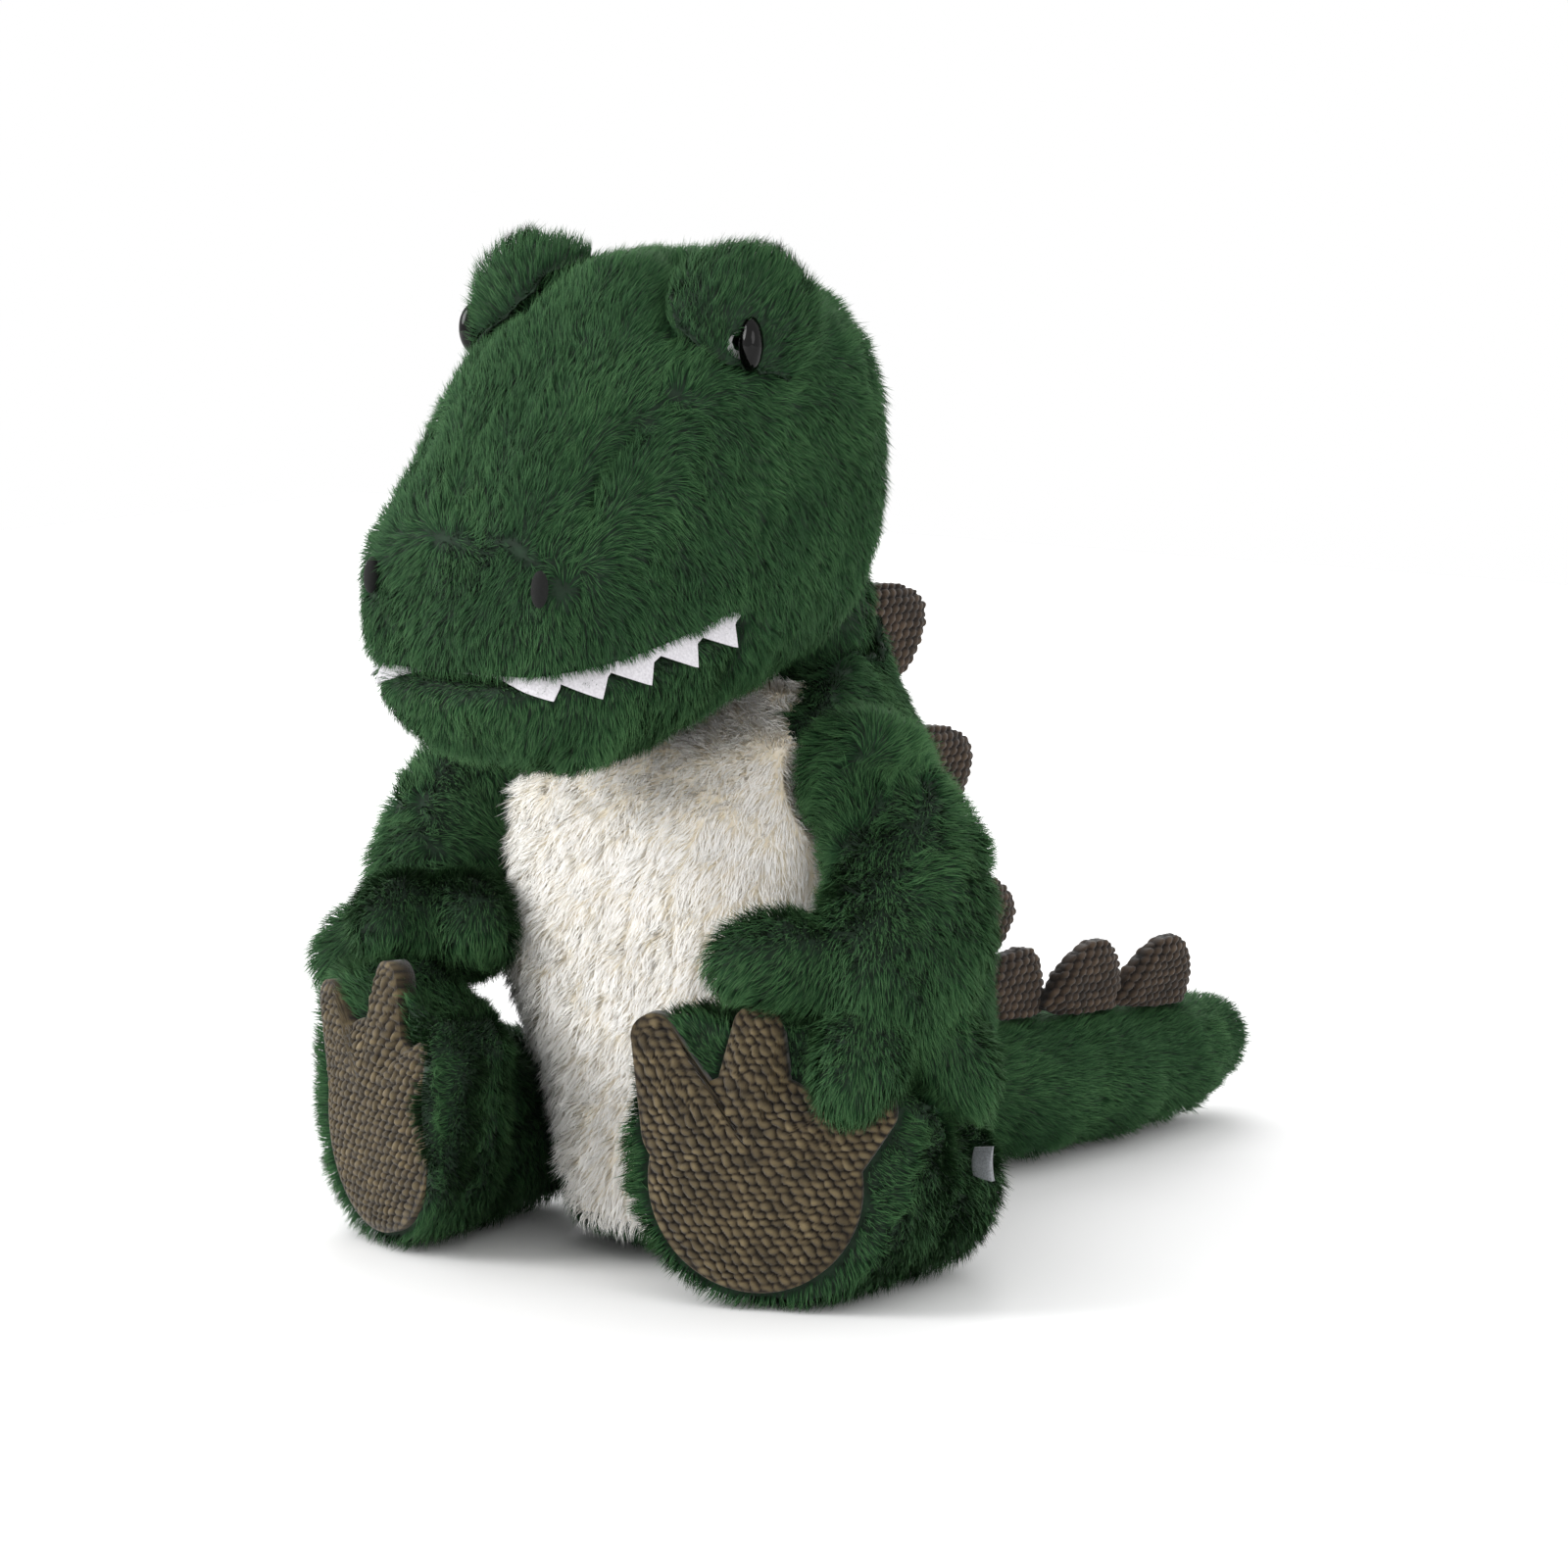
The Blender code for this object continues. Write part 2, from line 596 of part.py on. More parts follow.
# ---------------------------------------------------------------- arms
# Elbow and palm from the shoulder, in arm lengths, for a hand in front of the foot and one behind it.
ARM_PATHS = {
    1: ((0.36, 0.02, -0.42), (0.45, -0.44, -0.70)),
    -1: ((0.32, 0.02, -0.44), (0.26, -0.18, -0.75)),
}
# Which way the thumb and two fingers point from each palm.
FINGERS = {
    1: ((-0.74, -0.66, 0.05), (0.14, -0.65, -0.75), (0.31, 0.43, -0.85)),
    -1: ((-0.80, -0.52, 0.10), (-0.25, -0.80, 0.05), (0.84, -0.10, -0.44)),
}


def arm_shape(name, side, inset):
    """A sleeve bent from the shoulder ball to the palm, joined with a thumb and two fingers."""
    shoulder = np.array((SHOULDER_X, SHOULDER_Y, SHOULDER_HEIGHT))
    elbow, palm = (shoulder + np.array(offset) * ARM_LENGTH for offset in ARM_PATHS[side])
    around = np.linspace(0, 2 * pi, sides_for(inset, 12), endpoint=False)
    rings = []
    # Share of the way along the bend, and radius as a share of the sleeve's.
    for share, wide in ((0.12, 0.76), (0.40, 0.97), (0.72, 1.00), (1.00, 0.90), (1.20, 0.66)):
        centre = (1 - share) ** 2 * shoulder + 2 * share * (1 - share) * elbow + share**2 * palm
        lean = (1 - share) * (elbow - shoulder) + share * (palm - elbow)
        first = np.cross(lean, (0.0, 1.0, 0.25))
        first /= np.linalg.norm(first)
        second = np.cross(lean, first)
        second /= np.linalg.norm(second)
        radius = wide * ARM_RADIUS - inset
        ring = np.cos(around)[:, None] * first + np.sin(around)[:, None] * second
        rings.append(centre + radius * ring)
    lean /= np.linalg.norm(lean)
    shape = loft(name, rings, shoulder, centre + lean * (0.35 * ARM_RADIUS - inset / 2))
    join(shape, ellipsoid("shoulder", shoulder, [SHOULDER_RADIUS - inset] * 3, None, 12, 6))
    for way in FINGERS[side]:
        way = np.array(way) / np.linalg.norm(way)
        half = np.array((1.0, 1.0, 1.6)) * FINGER_RADIUS - inset
        centre = palm + way * (FINGER_REACH - 1.6 * FINGER_RADIUS)
        turn = Vector(way).to_track_quat("Z", "Y").to_matrix()
        join(shape, ellipsoid("finger", centre, half, turn, 8, 4))
    shape.data.transform(Matrix.Diagonal((side, 1, 1, 1)))
    if side < 0:
        shape.data.flip_normals()
    return shape


def make_arm(side, label, plush, filling):
    pivot = np.array((side * SHOULDER_X, SHOULDER_Y, SHOULDER_HEIGHT))
    inward = np.array((-side, 0.0, 0.25))
    skin = arm_shape("arm", side, 0)
    opening = rod("arm_opening", pivot, inward, SHOULDER_RADIUS * 0.4, SHOULDER_RADIUS * 2)
    cut(skin, arm_shape("arm_hollow", side, PLUSH), opening)
    finish_piece(skin, "arm_skin_" + label, plush, pivot)
    finish_piece(arm_shape("arm_fill", side, PLUSH + GAP), "arm_stuffing_" + label, filling, pivot)


# ---------------------------------------------------------------- legs
def paw_outline(palm, toe, reach, roll, count):
    """Distance from the centre, by angle, of the farthest edge of a round pad and three round toes."""
    around = np.linspace(0, 2 * pi, count, endpoint=False)
    across, up = np.sin(around), np.cos(around)
    circles = [(0.0, -0.10 * palm, palm)]
    for angle, share in ((radians(-58), 1.0), (0.0, 0.9), (radians(58), 1.0)):
        circles.append((share * reach * sin(angle + roll), share * reach * cos(angle + roll), toe))
    distance = np.zeros(count)
    for x, y, radius in circles:
        along = across * x + up * y
        room = radius**2 - x**2 - y**2 + along**2
        distance = np.maximum(distance, np.where(room > 0, along + np.sqrt(np.maximum(room, 0)), 0))
    return across * distance, up * distance


FOOT_X = HIP_X + 0.024
FOOT_Y = -(BODY_FRONT + 0.028)
HIP = np.array((HIP_X, FOOT_Y + LEG_LENGTH * 0.70, HIP_HEIGHT))
FOOT_ACROSS = np.array((cos(FOOT_SPLAY), sin(FOOT_SPLAY), 0.0))
FOOT_FORWARD = np.array((sin(FOOT_SPLAY), -cos(FOOT_SPLAY), 0.0))


def leg_shape(name, side, roll, inset):
    """A foot with toes drawn back into a round thigh, clear of the floor and of the body's side."""
    count = sides_for(inset, 26)
    across, up = paw_outline(FOOT_RADIUS - inset, TOE_RADIUS - inset, TOE_REACH, roll, count)
    around = np.linspace(0, 2 * pi, len(across), endpoint=False)
    foot = np.array((FOOT_X, FOOT_Y, FOOT_HEIGHT))
    # Distance behind the sole, share of the round thigh, outline scale.
    stations = (
        (0.00, 0.00, 0.93),
        (0.05, 0.00, 1.00),
        (0.22, 0.00, 1.00),
        (0.36, 0.45, 1.00),
        (0.52, 0.85, 1.00),
        (0.72, 1.00, 1.00),
        (0.87, 1.00, 0.86),
        (0.96, 1.00, 0.52),
    )
    thigh_x = HIP_X + THIGH_RADIUS + 0.001
    rings = []
    for share, blend, scale in stations:
        turn = 1 - min(share / 0.6, 1.0)
        right = FOOT_ACROSS * turn + np.array((1.0, 0.0, 0.0)) * (1 - turn)
        right /= np.linalg.norm(right)
        middle = foot * (1 - blend) + np.array((thigh_x, FOOT_Y, THIGH_RADIUS)) * blend
        middle = middle + np.array((0.0, share * LEG_LENGTH + (inset if share < 0.1 else 0.0), 0.0))
        wide = (across * (1 - blend) + np.sin(around) * (THIGH_RADIUS - inset) * blend) * scale
        tall = (up * (1 - blend) + np.cos(around) * (THIGH_RADIUS - inset) * blend) * scale
        rings.append(middle + wide[:, None] * right + tall[:, None] * np.array((0.0, 0.0, 1.0)))
    rings[-1][:, 1] -= inset
    sole = foot + np.array((0.0, inset, 0.0))
    rear = np.array((thigh_x, FOOT_Y + LEG_LENGTH - inset, THIGH_RADIUS))
    for ring in rings:
        ring[:, 2] = np.maximum(ring[:, 2], inset)
        behind = ring[:, 1] > -BODY_FRONT - 0.006
        ring[behind, 0] = np.maximum(ring[behind, 0], HIP_X + inset)
    shape = loft(name, rings, sole, rear)
    shape.data.transform(Matrix.Diagonal((side, 1, 1, 1)))
    if side < 0:
        shape.data.flip_normals()
    return shape


def make_leg(side, label, roll, plush, filling, knit):
    """The skin, filling and sole of a leg, dented where the hand rests on the foot."""
    pivot = HIP * (side, 1, 1)
    hollow = leg_shape("leg_hollow", side, roll, PLUSH)
    cut(hollow, arm_shape("hand_wall", side, -HAND_DENT - PLUSH))
    skin = cut(leg_shape("leg", side, roll, 0), arm_shape("hand_dent", side, -HAND_DENT))
    root = np.array((side * (HIP_X - 0.003), FOOT_Y + LEG_LENGTH * 0.72, THIGH_RADIUS))
    opening = rod("leg_opening", root, (side, 0.0, 0.0), THIGH_RADIUS * 0.4, THIGH_RADIUS)
    finish_piece(cut(skin, hollow, opening), "leg_skin_" + label, plush, pivot)
    stuffing = leg_shape("leg_fill", side, roll, PLUSH + GAP)
    cut(stuffing, arm_shape("hand_room", side, -HAND_DENT - PLUSH - GAP))
    finish_piece(stuffing, "leg_stuffing_" + label, filling, pivot)

    toe = TOE_RADIUS - SOLE_BORDER * 0.75
    across, up = paw_outline(FOOT_RADIUS - SOLE_BORDER, toe, TOE_REACH, roll, 36)
    foot = np.array((FOOT_X, FOOT_Y, FOOT_HEIGHT)) + FOOT_FORWARD * GAP * 1.5
    flat = foot + across[:, None] * FOOT_ACROSS + up[:, None] * np.array((0.0, 0.0, 1.0))
    step = FOOT_FORWARD * SOLE
    sole = loft("sole", [flat, flat + step], foot, foot + step)
    sole.data.transform(Matrix.Diagonal((side, 1, 1, 1)))
    if side < 0:
        sole.data.flip_normals()
    cut(sole, arm_shape("hand_dent", side, -HAND_DENT))
    finish_piece(sole, "sole_" + label, knit, pivot)


def make_label(fabric):
    """A small blank sewn-in label at the outside of the left thigh."""
    outside = HIP_X + 2 * THIGH_RADIUS + 0.0035
    low = np.array((outside, FOOT_Y + LEG_LENGTH * 0.62, THIGH_RADIUS * 1.15))
    label = piece("care_label", *box_shape(low, low + np.array((0.009, 0.0012, 0.012))))
    finish_piece(label, "care_label", fabric, HIP)


# ---------------------------------------------------------------- tail
# Distance from the root, then half-width, height and lift off the floor, as shares of the tail's own.
TAIL_STATIONS = np.array([
    (0.03, 0.90, 0.98, 0.04),
    (0.22, 1.00, 1.00, 0.00),
    (0.45, 0.98, 0.97, 0.00),
    (0.65, 0.91, 0.93, 0.00),
    (0.82, 0.78, 0.84, 0.07),
    (0.93, 0.58, 0.66, 0.20),
    (0.985, 0.32, 0.38, 0.38),
])


def tail_shape(name, inset):
    around = np.linspace(0, 2 * pi, sides_for(inset, 16), endpoint=False)
    rings = []
    for share, wide, tall, lift in TAIL_STATIONS:
        half = tall * TAIL_HEIGHT / 2
        across = np.cos(around) * (wide * TAIL_HALF_WIDTH - inset)
        up = half + lift * TAIL_HEIGHT + np.sin(around) * (half - inset)
        along = np.full(len(around), TAIL_ROOT[1] + share * TAIL_LENGTH - (inset if share > 0.9 else 0.0))
        rings.append(np.stack([across, along, up], 1))
    end = np.array((0.0, TAIL_ROOT[1] + TAIL_LENGTH - inset, 0.58 * TAIL_HEIGHT))
    shape = loft(name, rings, TAIL_ROOT, end)
    return join(shape, ellipsoid("tail_ball", TAIL_ROOT, [TAIL_BALL - inset] * 3, None, 12, 6))


def make_tail(plush, filling):
    skin = tail_shape("tail", 0)
    opening = rod("tail_opening", TAIL_ROOT, (0.0, -1.0, 0.0), TAIL_BALL * 0.4, TAIL_BALL * 2)
    cut(skin, tail_shape("tail_hollow", PLUSH), opening)
    finish_piece(skin, "tail_skin", plush, TAIL_ROOT)
    finish_piece(tail_shape("tail_fill", PLUSH + GAP), "tail_stuffing", filling, TAIL_ROOT)


# ---------------------------------------------------------------- spikes
def spike_shape(name, base, direction, roll, bite):
    """A padded scallop: a rounded point, thickest in the middle, standing on a base point."""
    share = np.linspace(0, pi, 9)
    across = -SPIKE_HALF_WIDTH * np.cos(share) * (0.72 + 0.28 * np.cos(share) ** 2)
    tall = SPIKE_HEIGHT * np.sin(share) ** 0.8
    outline = np.concatenate([np.stack([across, tall], 1), [(0.0, -bite)]])
    up = np.array((sin(roll), direction[0] * cos(roll), direction[1] * cos(roll)))
    along = np.array((0.0, -direction[1], direction[0]))
    side = np.cross(up, along)
    layers = []
    for offset, scale in ((-1.0, 0.66), (-0.4, 1.0), (0.4, 1.0), (1.0, 0.66)):
        middle = np.array((0.0, SPIKE_HEIGHT * 0.42))
        flat = (outline - middle) * scale + middle
        depth = side * offset * SPIKE_THICKNESS / 2
        layers.append(base + flat[:, :1] * along + flat[:, 1:] * up + depth)
    ends = [layer.mean(0) for layer in (layers[0], layers[-1])]
    return loft(name, layers, ends[0], ends[1])


def make_spikes(knit):
    """Three on the body's back, then three along the tail."""
    for number, height, tilt in ((1, 0.880, 0.50), (2, 0.645, 0.42), (3, 0.405, 0.12)):
        z = height * BODY_HEIGHT
        direction = np.array((1.0, tilt)) / hypot(1.0, tilt)
        spike = spike_shape("spike", np.array((0.0, body_back(z), z)), direction, 0.0, 0.003)
        cut(spike, body_shape("body_under", -GAP))
        finish_piece(spike, "spike_" + str(number), knit)
    for number, share, tilt, roll in ((4, 0.13, 1.6, 0.05), (5, 0.365, 4.0, 0.22), (6, 0.61, 5.0, 0.30)):
        direction = np.array((1.0, tilt)) / hypot(1.0, tilt)
        columns = TAIL_STATIONS[:, 1:].T
        wide, tall, lift = (np.interp(share, TAIL_STATIONS[:, 0], column) for column in columns)
        x = sin(roll) * wide * TAIL_HALF_WIDTH
        z = (tall * (1 + cos(roll)) / 2 + lift) * TAIL_HEIGHT
        base = np.array((x, TAIL_ROOT[1] + share * TAIL_LENGTH, z))
        spike = spike_shape("spike", base, direction, roll, 0.004)
        cut(spike, tail_shape("tail_under", -GAP))
        finish_piece(spike, "spike_" + str(number), knit, TAIL_ROOT)


def main():
    for old in list(bpy.data.objects):
        bpy.data.objects.remove(old)
    plush = material("green_plush", (0.020, 0.110, 0.035), 0.95)
    belly = material("white_plush", (0.82, 0.80, 0.75), 0.95)
    filling = material("polyester_filling", (0.85, 0.85, 0.85), 1.0)
    beans = material("bean_bag_cloth", (0.60, 0.60, 0.58), 0.9)
    knit = material("brown_knit", (0.135, 0.095, 0.060), 0.95)
    felt = material("pale_felt", (0.66, 0.65, 0.68), 0.95)
    gloss = material("black_eye_plastic", (0.006, 0.006, 0.007), 0.08)
    plastic = material("washer_plastic", (0.70, 0.70, 0.70), 0.5)
    thread = material("black_thread", (0.012, 0.014, 0.012), 0.8)
    ribbon = material("label_ribbon", (0.75, 0.75, 0.76), 0.7)

    make_body(plush, belly, filling, beans)
    make_neck(plush, filling)
    make_head(plush, filling, felt, gloss, plastic, thread)
    for side, label, roll in ((1, "left", LEFT_FOOT_ROLL), (-1, "right", RIGHT_FOOT_ROLL)):
        make_arm(side, label, plush, filling)
        make_leg(side, label, roll, plush, filling, knit)
    make_label(ribbon)
    make_tail(plush, filling)
    make_spikes(knit)


main()
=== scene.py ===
"""The looks of a seated stuffed dinosaur: plush pile, knitted pads, felt teeth and glossy eyes.

Each stuffed part is a closed soft form, rounded from its solid in the frame, with a pile of
tapered fibres that grows out of it. Fibres are mesh, so the fur is real shape.
"""

import bmesh
import bpy
import numpy as np
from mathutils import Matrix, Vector


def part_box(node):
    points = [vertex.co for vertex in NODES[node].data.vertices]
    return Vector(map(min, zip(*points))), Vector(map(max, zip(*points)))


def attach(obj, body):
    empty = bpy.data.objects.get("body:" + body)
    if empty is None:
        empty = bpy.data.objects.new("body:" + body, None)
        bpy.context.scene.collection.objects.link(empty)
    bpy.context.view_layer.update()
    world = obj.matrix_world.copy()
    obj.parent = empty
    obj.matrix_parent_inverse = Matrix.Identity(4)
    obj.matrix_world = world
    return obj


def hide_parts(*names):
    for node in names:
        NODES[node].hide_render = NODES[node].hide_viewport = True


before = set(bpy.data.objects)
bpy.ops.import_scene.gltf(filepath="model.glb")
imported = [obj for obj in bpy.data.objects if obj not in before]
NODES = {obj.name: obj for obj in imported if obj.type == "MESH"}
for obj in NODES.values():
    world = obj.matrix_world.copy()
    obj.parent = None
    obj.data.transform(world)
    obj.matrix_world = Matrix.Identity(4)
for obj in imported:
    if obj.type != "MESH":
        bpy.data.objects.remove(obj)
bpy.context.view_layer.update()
MM = 0.001

# The plush's real sizes
PILE = 6.6 * MM
FORM_INSET = 2.7 * MM
FIBRE_WIDTH = 0.27 * MM
TUFT = 3.0 * MM
FLOOR_CLEARANCE = 0.2 * MM
FIBRES_PER_PIECE = 64000
# Fibres in each square millimetre of backing. A real pile has hundreds, so each of these
# stands for a lock of them.
DENSITY = 2.5

# Face places, in metres, in the frame's own axes
BROW_SEAM = np.array([(14, -64, 283), (17, -72, 280), (20, -81, 274), (25, -87, 268), (32, -89, 262)]) * MM
SNOUT_SEAM = np.array([(35, -111, 237), (34, -119, 230), (34, -125, 224), (35, -129, 219)]) * MM
MOUTH_CORNER_Y = -80 * MM
MOUTH_CORNER_Z = 186 * MM
MOUTH_SLOPE = 0.25
MOUTH_HALF_WIDTH = 48.8 * MM
MOUTH_DEPTH = 65.5 * MM
MOUTH_POWER = 2.8
HALF_MOUTH_LENGTH = 96.0
# Each tooth of half the mouth: its place along the lip from the corner and its hang, in millimetres
TEETH = ((5.2, 7.6), (20.8, 7.8), (36.5, 7.6), (50.6, 7.4), (63.6, 5.6))
FELT_THICKNESS = 1.3 * MM
# The eye is pulled this far in by its washer, so that the pile stands round it.
EYE_SINK = {"left": (-3.0 * MM, 3.4 * MM, -0.2 * MM), "right": (3.0 * MM, 3.4 * MM, -0.2 * MM)}
EYE_NARROWING = 0.24
BROW_STRETCH = 1.30
BROW_EDGE = 57 * MM

# Belly panel: from its lowest point up, its half width, and how far round the sides it goes
BELLY_BOTTOM = 12 * MM
BELLY_HEIGHT = 162 * MM
BELLY_HALF_WIDTH = 56.5 * MM
BELLY_SIDE_Y = -25 * MM

# Feet. The knit panel of each, in millimetres from its middle, outwards and up, is a round pad
# and toes that taper from a wide root to a rounded tip. Each entry is across, up, radius.
UP = np.array((0.0, 0.0, 1.0))
FOOT_SPLAY = np.radians(21)
FOOT_MIDDLE_HEIGHT = 43.5 * MM
PAD = {"left": (0, -8, 30), "right": (-2, -8, 30.5)}
TOES = {
    "left": (((-19, 6, 13), (-28.5, 30.5, 6.3)), ((-1, 8, 12), (1, 34, 7)), ((14, 0, 15), (33, 13, 6.5))),
    "right": (((14, 0, 14), (27, 23, 6.3)), ((-6, 8, 12), (-8, 33, 6.6)), ((-16, 0, 13), (-30, 14, 6))),
}
SOLE_GRID = 150
SOLE_THICKNESS = 6 * MM

# Camera: degrees from the front towards the toy's left, degrees up, and metres away
CAMERA_TURN = 38
CAMERA_TILT = 8
CAMERA_DISTANCE = 1.8
CAMERA_AIM_HEIGHT = 0.127
CAMERA_LENS = 144.6


# ---------------------------------------------------------------- numbers
def unit(vectors):
    return vectors / np.maximum(np.linalg.norm(vectors, axis=-1, keepdims=True), 1e-12)


def dot(first, second):
    return (first * second).sum(-1, keepdims=True)


def waves(points, size, seed, count=12):
    """Smooth vector noise: a sum of sine waves of about one length in random directions."""
    random = np.random.default_rng(seed)
    ways = unit(random.normal(size=(count, 3))) * (2 * np.pi / size)
    ways *= random.uniform(0.7, 1.35, (count, 1))
    amounts = random.normal(size=(count, 3))
    return np.sin(points @ ways.T + random.uniform(0, 2 * np.pi, count)) @ amounts / np.sqrt(count / 2)


def scatter(cells, seed):
    """Three random shares for each whole-number cell, from a hash of its three numbers."""
    mixed = cells[:, 0] * 73856093 ^ cells[:, 1] * 19349663 ^ cells[:, 2] * 83492791 ^ seed * 2654435761
    shares = []
    for _ in range(3):
        mixed = (mixed * 1103515245 + 12345) & 0x7FFFFFFF
        mixed ^= mixed >> 11
        shares.append((mixed & 0xFFFF) / 65536.0)
    return np.stack(shares, 1)


def nearest_tuft(points, size, seed):
    """The nearest of one random point per cubic cell, its distance in cells, and a random share."""
    cell = np.floor(points / size).astype(np.int64)
    best = np.full(len(points), np.inf)
    second = np.full(len(points), np.inf)
    centre, share = points.copy(), np.zeros(len(points))
    for shift in np.stack(np.meshgrid((-1, 0, 1), (-1, 0, 1), (-1, 0, 1)), -1).reshape(-1, 3):
        near = cell + shift
        spread = scatter(near, seed)
        spot = (near + spread) * size
        gap = ((spot - points) ** 2).sum(1)
        closer = gap < best
        second = np.where(closer, best, np.minimum(second, gap))
        best = np.where(closer, gap, best)
        centre[closer] = spot[closer]
        share[closer] = spread[closer, 0]
    return centre, np.sqrt(best) / size, np.sqrt(second) / size, share


def line_distance(points, line):
    """Distance from each point to a polyline: the least over its straight parts."""
    least = np.full(len(points), np.inf)
    for start, end in zip(line[:-1], line[1:]):
        run = end - start
        along = np.clip((points - start) @ run / (run @ run), 0, 1)
        least = np.minimum(least, np.linalg.norm(points - start - along[:, None] * run, axis=1))
    return least


def ease(value, low, high):
    """0 below low, 1 above high, and a smooth cubic step between."""
    share = np.clip((value - low) / (high - low), 0, 1)
    return share * share * (3 - 2 * share)


# ---------------------------------------------------------------- materials
def linear(code):
    """An sRGB hex colour as linear light: c / 12.92 when dark, else ((c + 0.055) / 1.055) ** 2.4."""
    share = np.array([int(code[i : i + 2], 16) for i in (1, 3, 5)]) / 255
    light = np.where(share <= 0.04045, share / 12.92, ((share + 0.055) / 1.055) ** 2.4)
    return (*light.tolist(), 1.0)


def add(tree, kind, sockets=None, **settings):
    """Adds a node, sets its properties, and sets or links its sockets."""
    node = tree.nodes.new(kind)
    for name, value in settings.items():
        setattr(node, name, value)
    for name, value in (sockets or {}).items():
        if isinstance(value, bpy.types.NodeSocket):
            tree.links.new(value, node.inputs[name])
        else:
            node.inputs[name].default_value = value
    return node


def new_material(name, roughness, **settings):
    made = bpy.data.materials.new(name)
    made.use_nodes = True
    shader = made.node_tree.nodes["Principled BSDF"]
    shader.inputs["Roughness"].default_value = roughness
    for socket, value in settings.items():
        shader.inputs[socket.replace("_", " ")].default_value = value
    return made, made.node_tree, shader


def ramp(tree, factor, stops):
    node = add(tree, "ShaderNodeValToRGB", {"Fac": factor})
    bands = node.color_ramp.elements
    while len(bands) < len(stops):
        bands.new(0.5)
    for band, (place, code) in zip(bands, stops):
        band.position = place
        band.color = linear(code)
    return node.outputs["Color"]


def mix(tree, factor, first, second, blend="MIX"):
    node = add(tree, "ShaderNodeMix", data_type="RGBA", blend_type=blend)
    for place, value in ((0, factor), (6, first), (7, second)):
        if isinstance(value, bpy.types.NodeSocket):
            tree.links.new(value, node.inputs[place])
        else:
            node.inputs[place].default_value = value
    return node.outputs[2]


def read(tree, name):
    return add(tree, "ShaderNodeAttribute", attribute_name=name).outputs["Fac"]


def plush_pile(name, dark, light):
    """Acrylic plush, cut and brushed: dark at the backing, bright at the tips, with a soft sheen."""
    made, tree, shader = new_material(name, 0.75, Sheen_Weight=0.14, Sheen_Roughness=0.4)
    shader.inputs["Sheen Tint"].default_value = linear(light[-1][1])
    shader.inputs["Specular IOR Level"].default_value = 0.18
    along = read(tree, "along")
    deep, bright = ramp(tree, along, dark), ramp(tree, along, light)
    tree.links.new(mix(tree, read(tree, "tone"), deep, bright), shader.inputs["Base Color"])
    return made


def plush_backing(name, code, spots):
    """The knitted backing that the pile grows from, seen only where the pile parts."""
    made, tree, shader = new_material(name, 0.9)
    place = add(tree, "ShaderNodeTexCoord").outputs["Object"]
    noise = add(tree, "ShaderNodeTexNoise", {"Vector": place, "Scale": 400.0, "Detail": 3.0})
    colour = ramp(tree, noise.outputs["Fac"], ((0.35, code), (0.7, spots)))
    tree.links.new(colour, shader.inputs["Base Color"])
    return made


def yarn_knit(name, groove_shade, side, crown):
    """Hand-knitting yarn of wool and acrylic: matt, with fine fibre lines, and darker between stitches as
    painted shade in the grooves.
    """
    made, tree, shader = new_material(name, 0.88, Sheen_Weight=0.2, Sheen_Roughness=0.5)
    shader.inputs["Specular IOR Level"].default_value = 0.2
    place = add(tree, "ShaderNodeTexCoord").outputs["Object"]
    # The stitch relief sets the colour, dark in the grooves and light on the crowns: painted shade.
    body = ramp(tree, read(tree, "relief"), ((0.0, groove_shade), (0.45, side), (1.0, crown)))
    # Dye lots along a yarn change over about 6 mm.
    lots = add(tree, "ShaderNodeTexNoise", {"Vector": place, "Scale": 170.0, "Detail": 4.0})
    tint = ramp(tree, lots.outputs["Fac"], ((0.3, "#a8a8a8"), (0.7, "#ffffff")))
    tree.links.new(mix(tree, 1.0, body, tint, "MULTIPLY"), shader.inputs["Base Color"])
    # Single fibres are finer than 0.05 mm, so they are drawn at 0.4 mm to show.
    fibre = add(tree, "ShaderNodeTexNoise", {"Vector": place, "Scale": 2500.0, "Detail": 3.0})
    bump = add(tree, "ShaderNodeBump", {"Height": fibre.outputs["Fac"], "Strength": 0.55})
    bump.inputs["Distance"].default_value = 0.3 * MM
    tree.links.new(bump.outputs["Normal"], shader.inputs["Normal"])
    return made


def fibre_fabric(name, low, high, scale, depth, roughness=0.95, sheen=0.1):
    """Felt, filling or plain cloth: matted fibres in two close shades, raised a little."""
    made, tree, shader = new_material(name, roughness, Sheen_Weight=sheen)
    place = add(tree, "ShaderNodeTexCoord").outputs["Object"]
    noise = add(tree, "ShaderNodeTexNoise", {"Vector": place, "Scale": scale, "Detail": 6.0})
    tree.links.new(ramp(tree, noise.outputs["Fac"], ((0.3, low), (0.7, high))), shader.inputs["Base Color"])
    bump = add(tree, "ShaderNodeBump", {"Height": noise.outputs["Fac"], "Strength": 0.6})
    bump.inputs["Distance"].default_value = depth
    tree.links.new(bump.outputs["Normal"], shader.inputs["Normal"])
    return made


def moulded_plastic(name, code, roughness, coat):
    """Injection moulded plastic: even colour, with faint unevenness in its polish."""
    made, tree, shader = new_material(name, roughness, Coat_Weight=coat, Coat_Roughness=0.03)
    shader.inputs["Base Color"].default_value = linear(code)
    place = add(tree, "ShaderNodeTexCoord").outputs["Object"]
    noise = add(tree, "ShaderNodeTexNoise", {"Vector": place, "Scale": 900.0, "Detail": 2.0})
    bump = add(tree, "ShaderNodeBump", {"Height": noise.outputs["Fac"], "Strength": 0.05})
    bump.inputs["Distance"].default_value = 0.02 * MM
    tree.links.new(bump.outputs["Normal"], shader.inputs["Normal"])
    return made


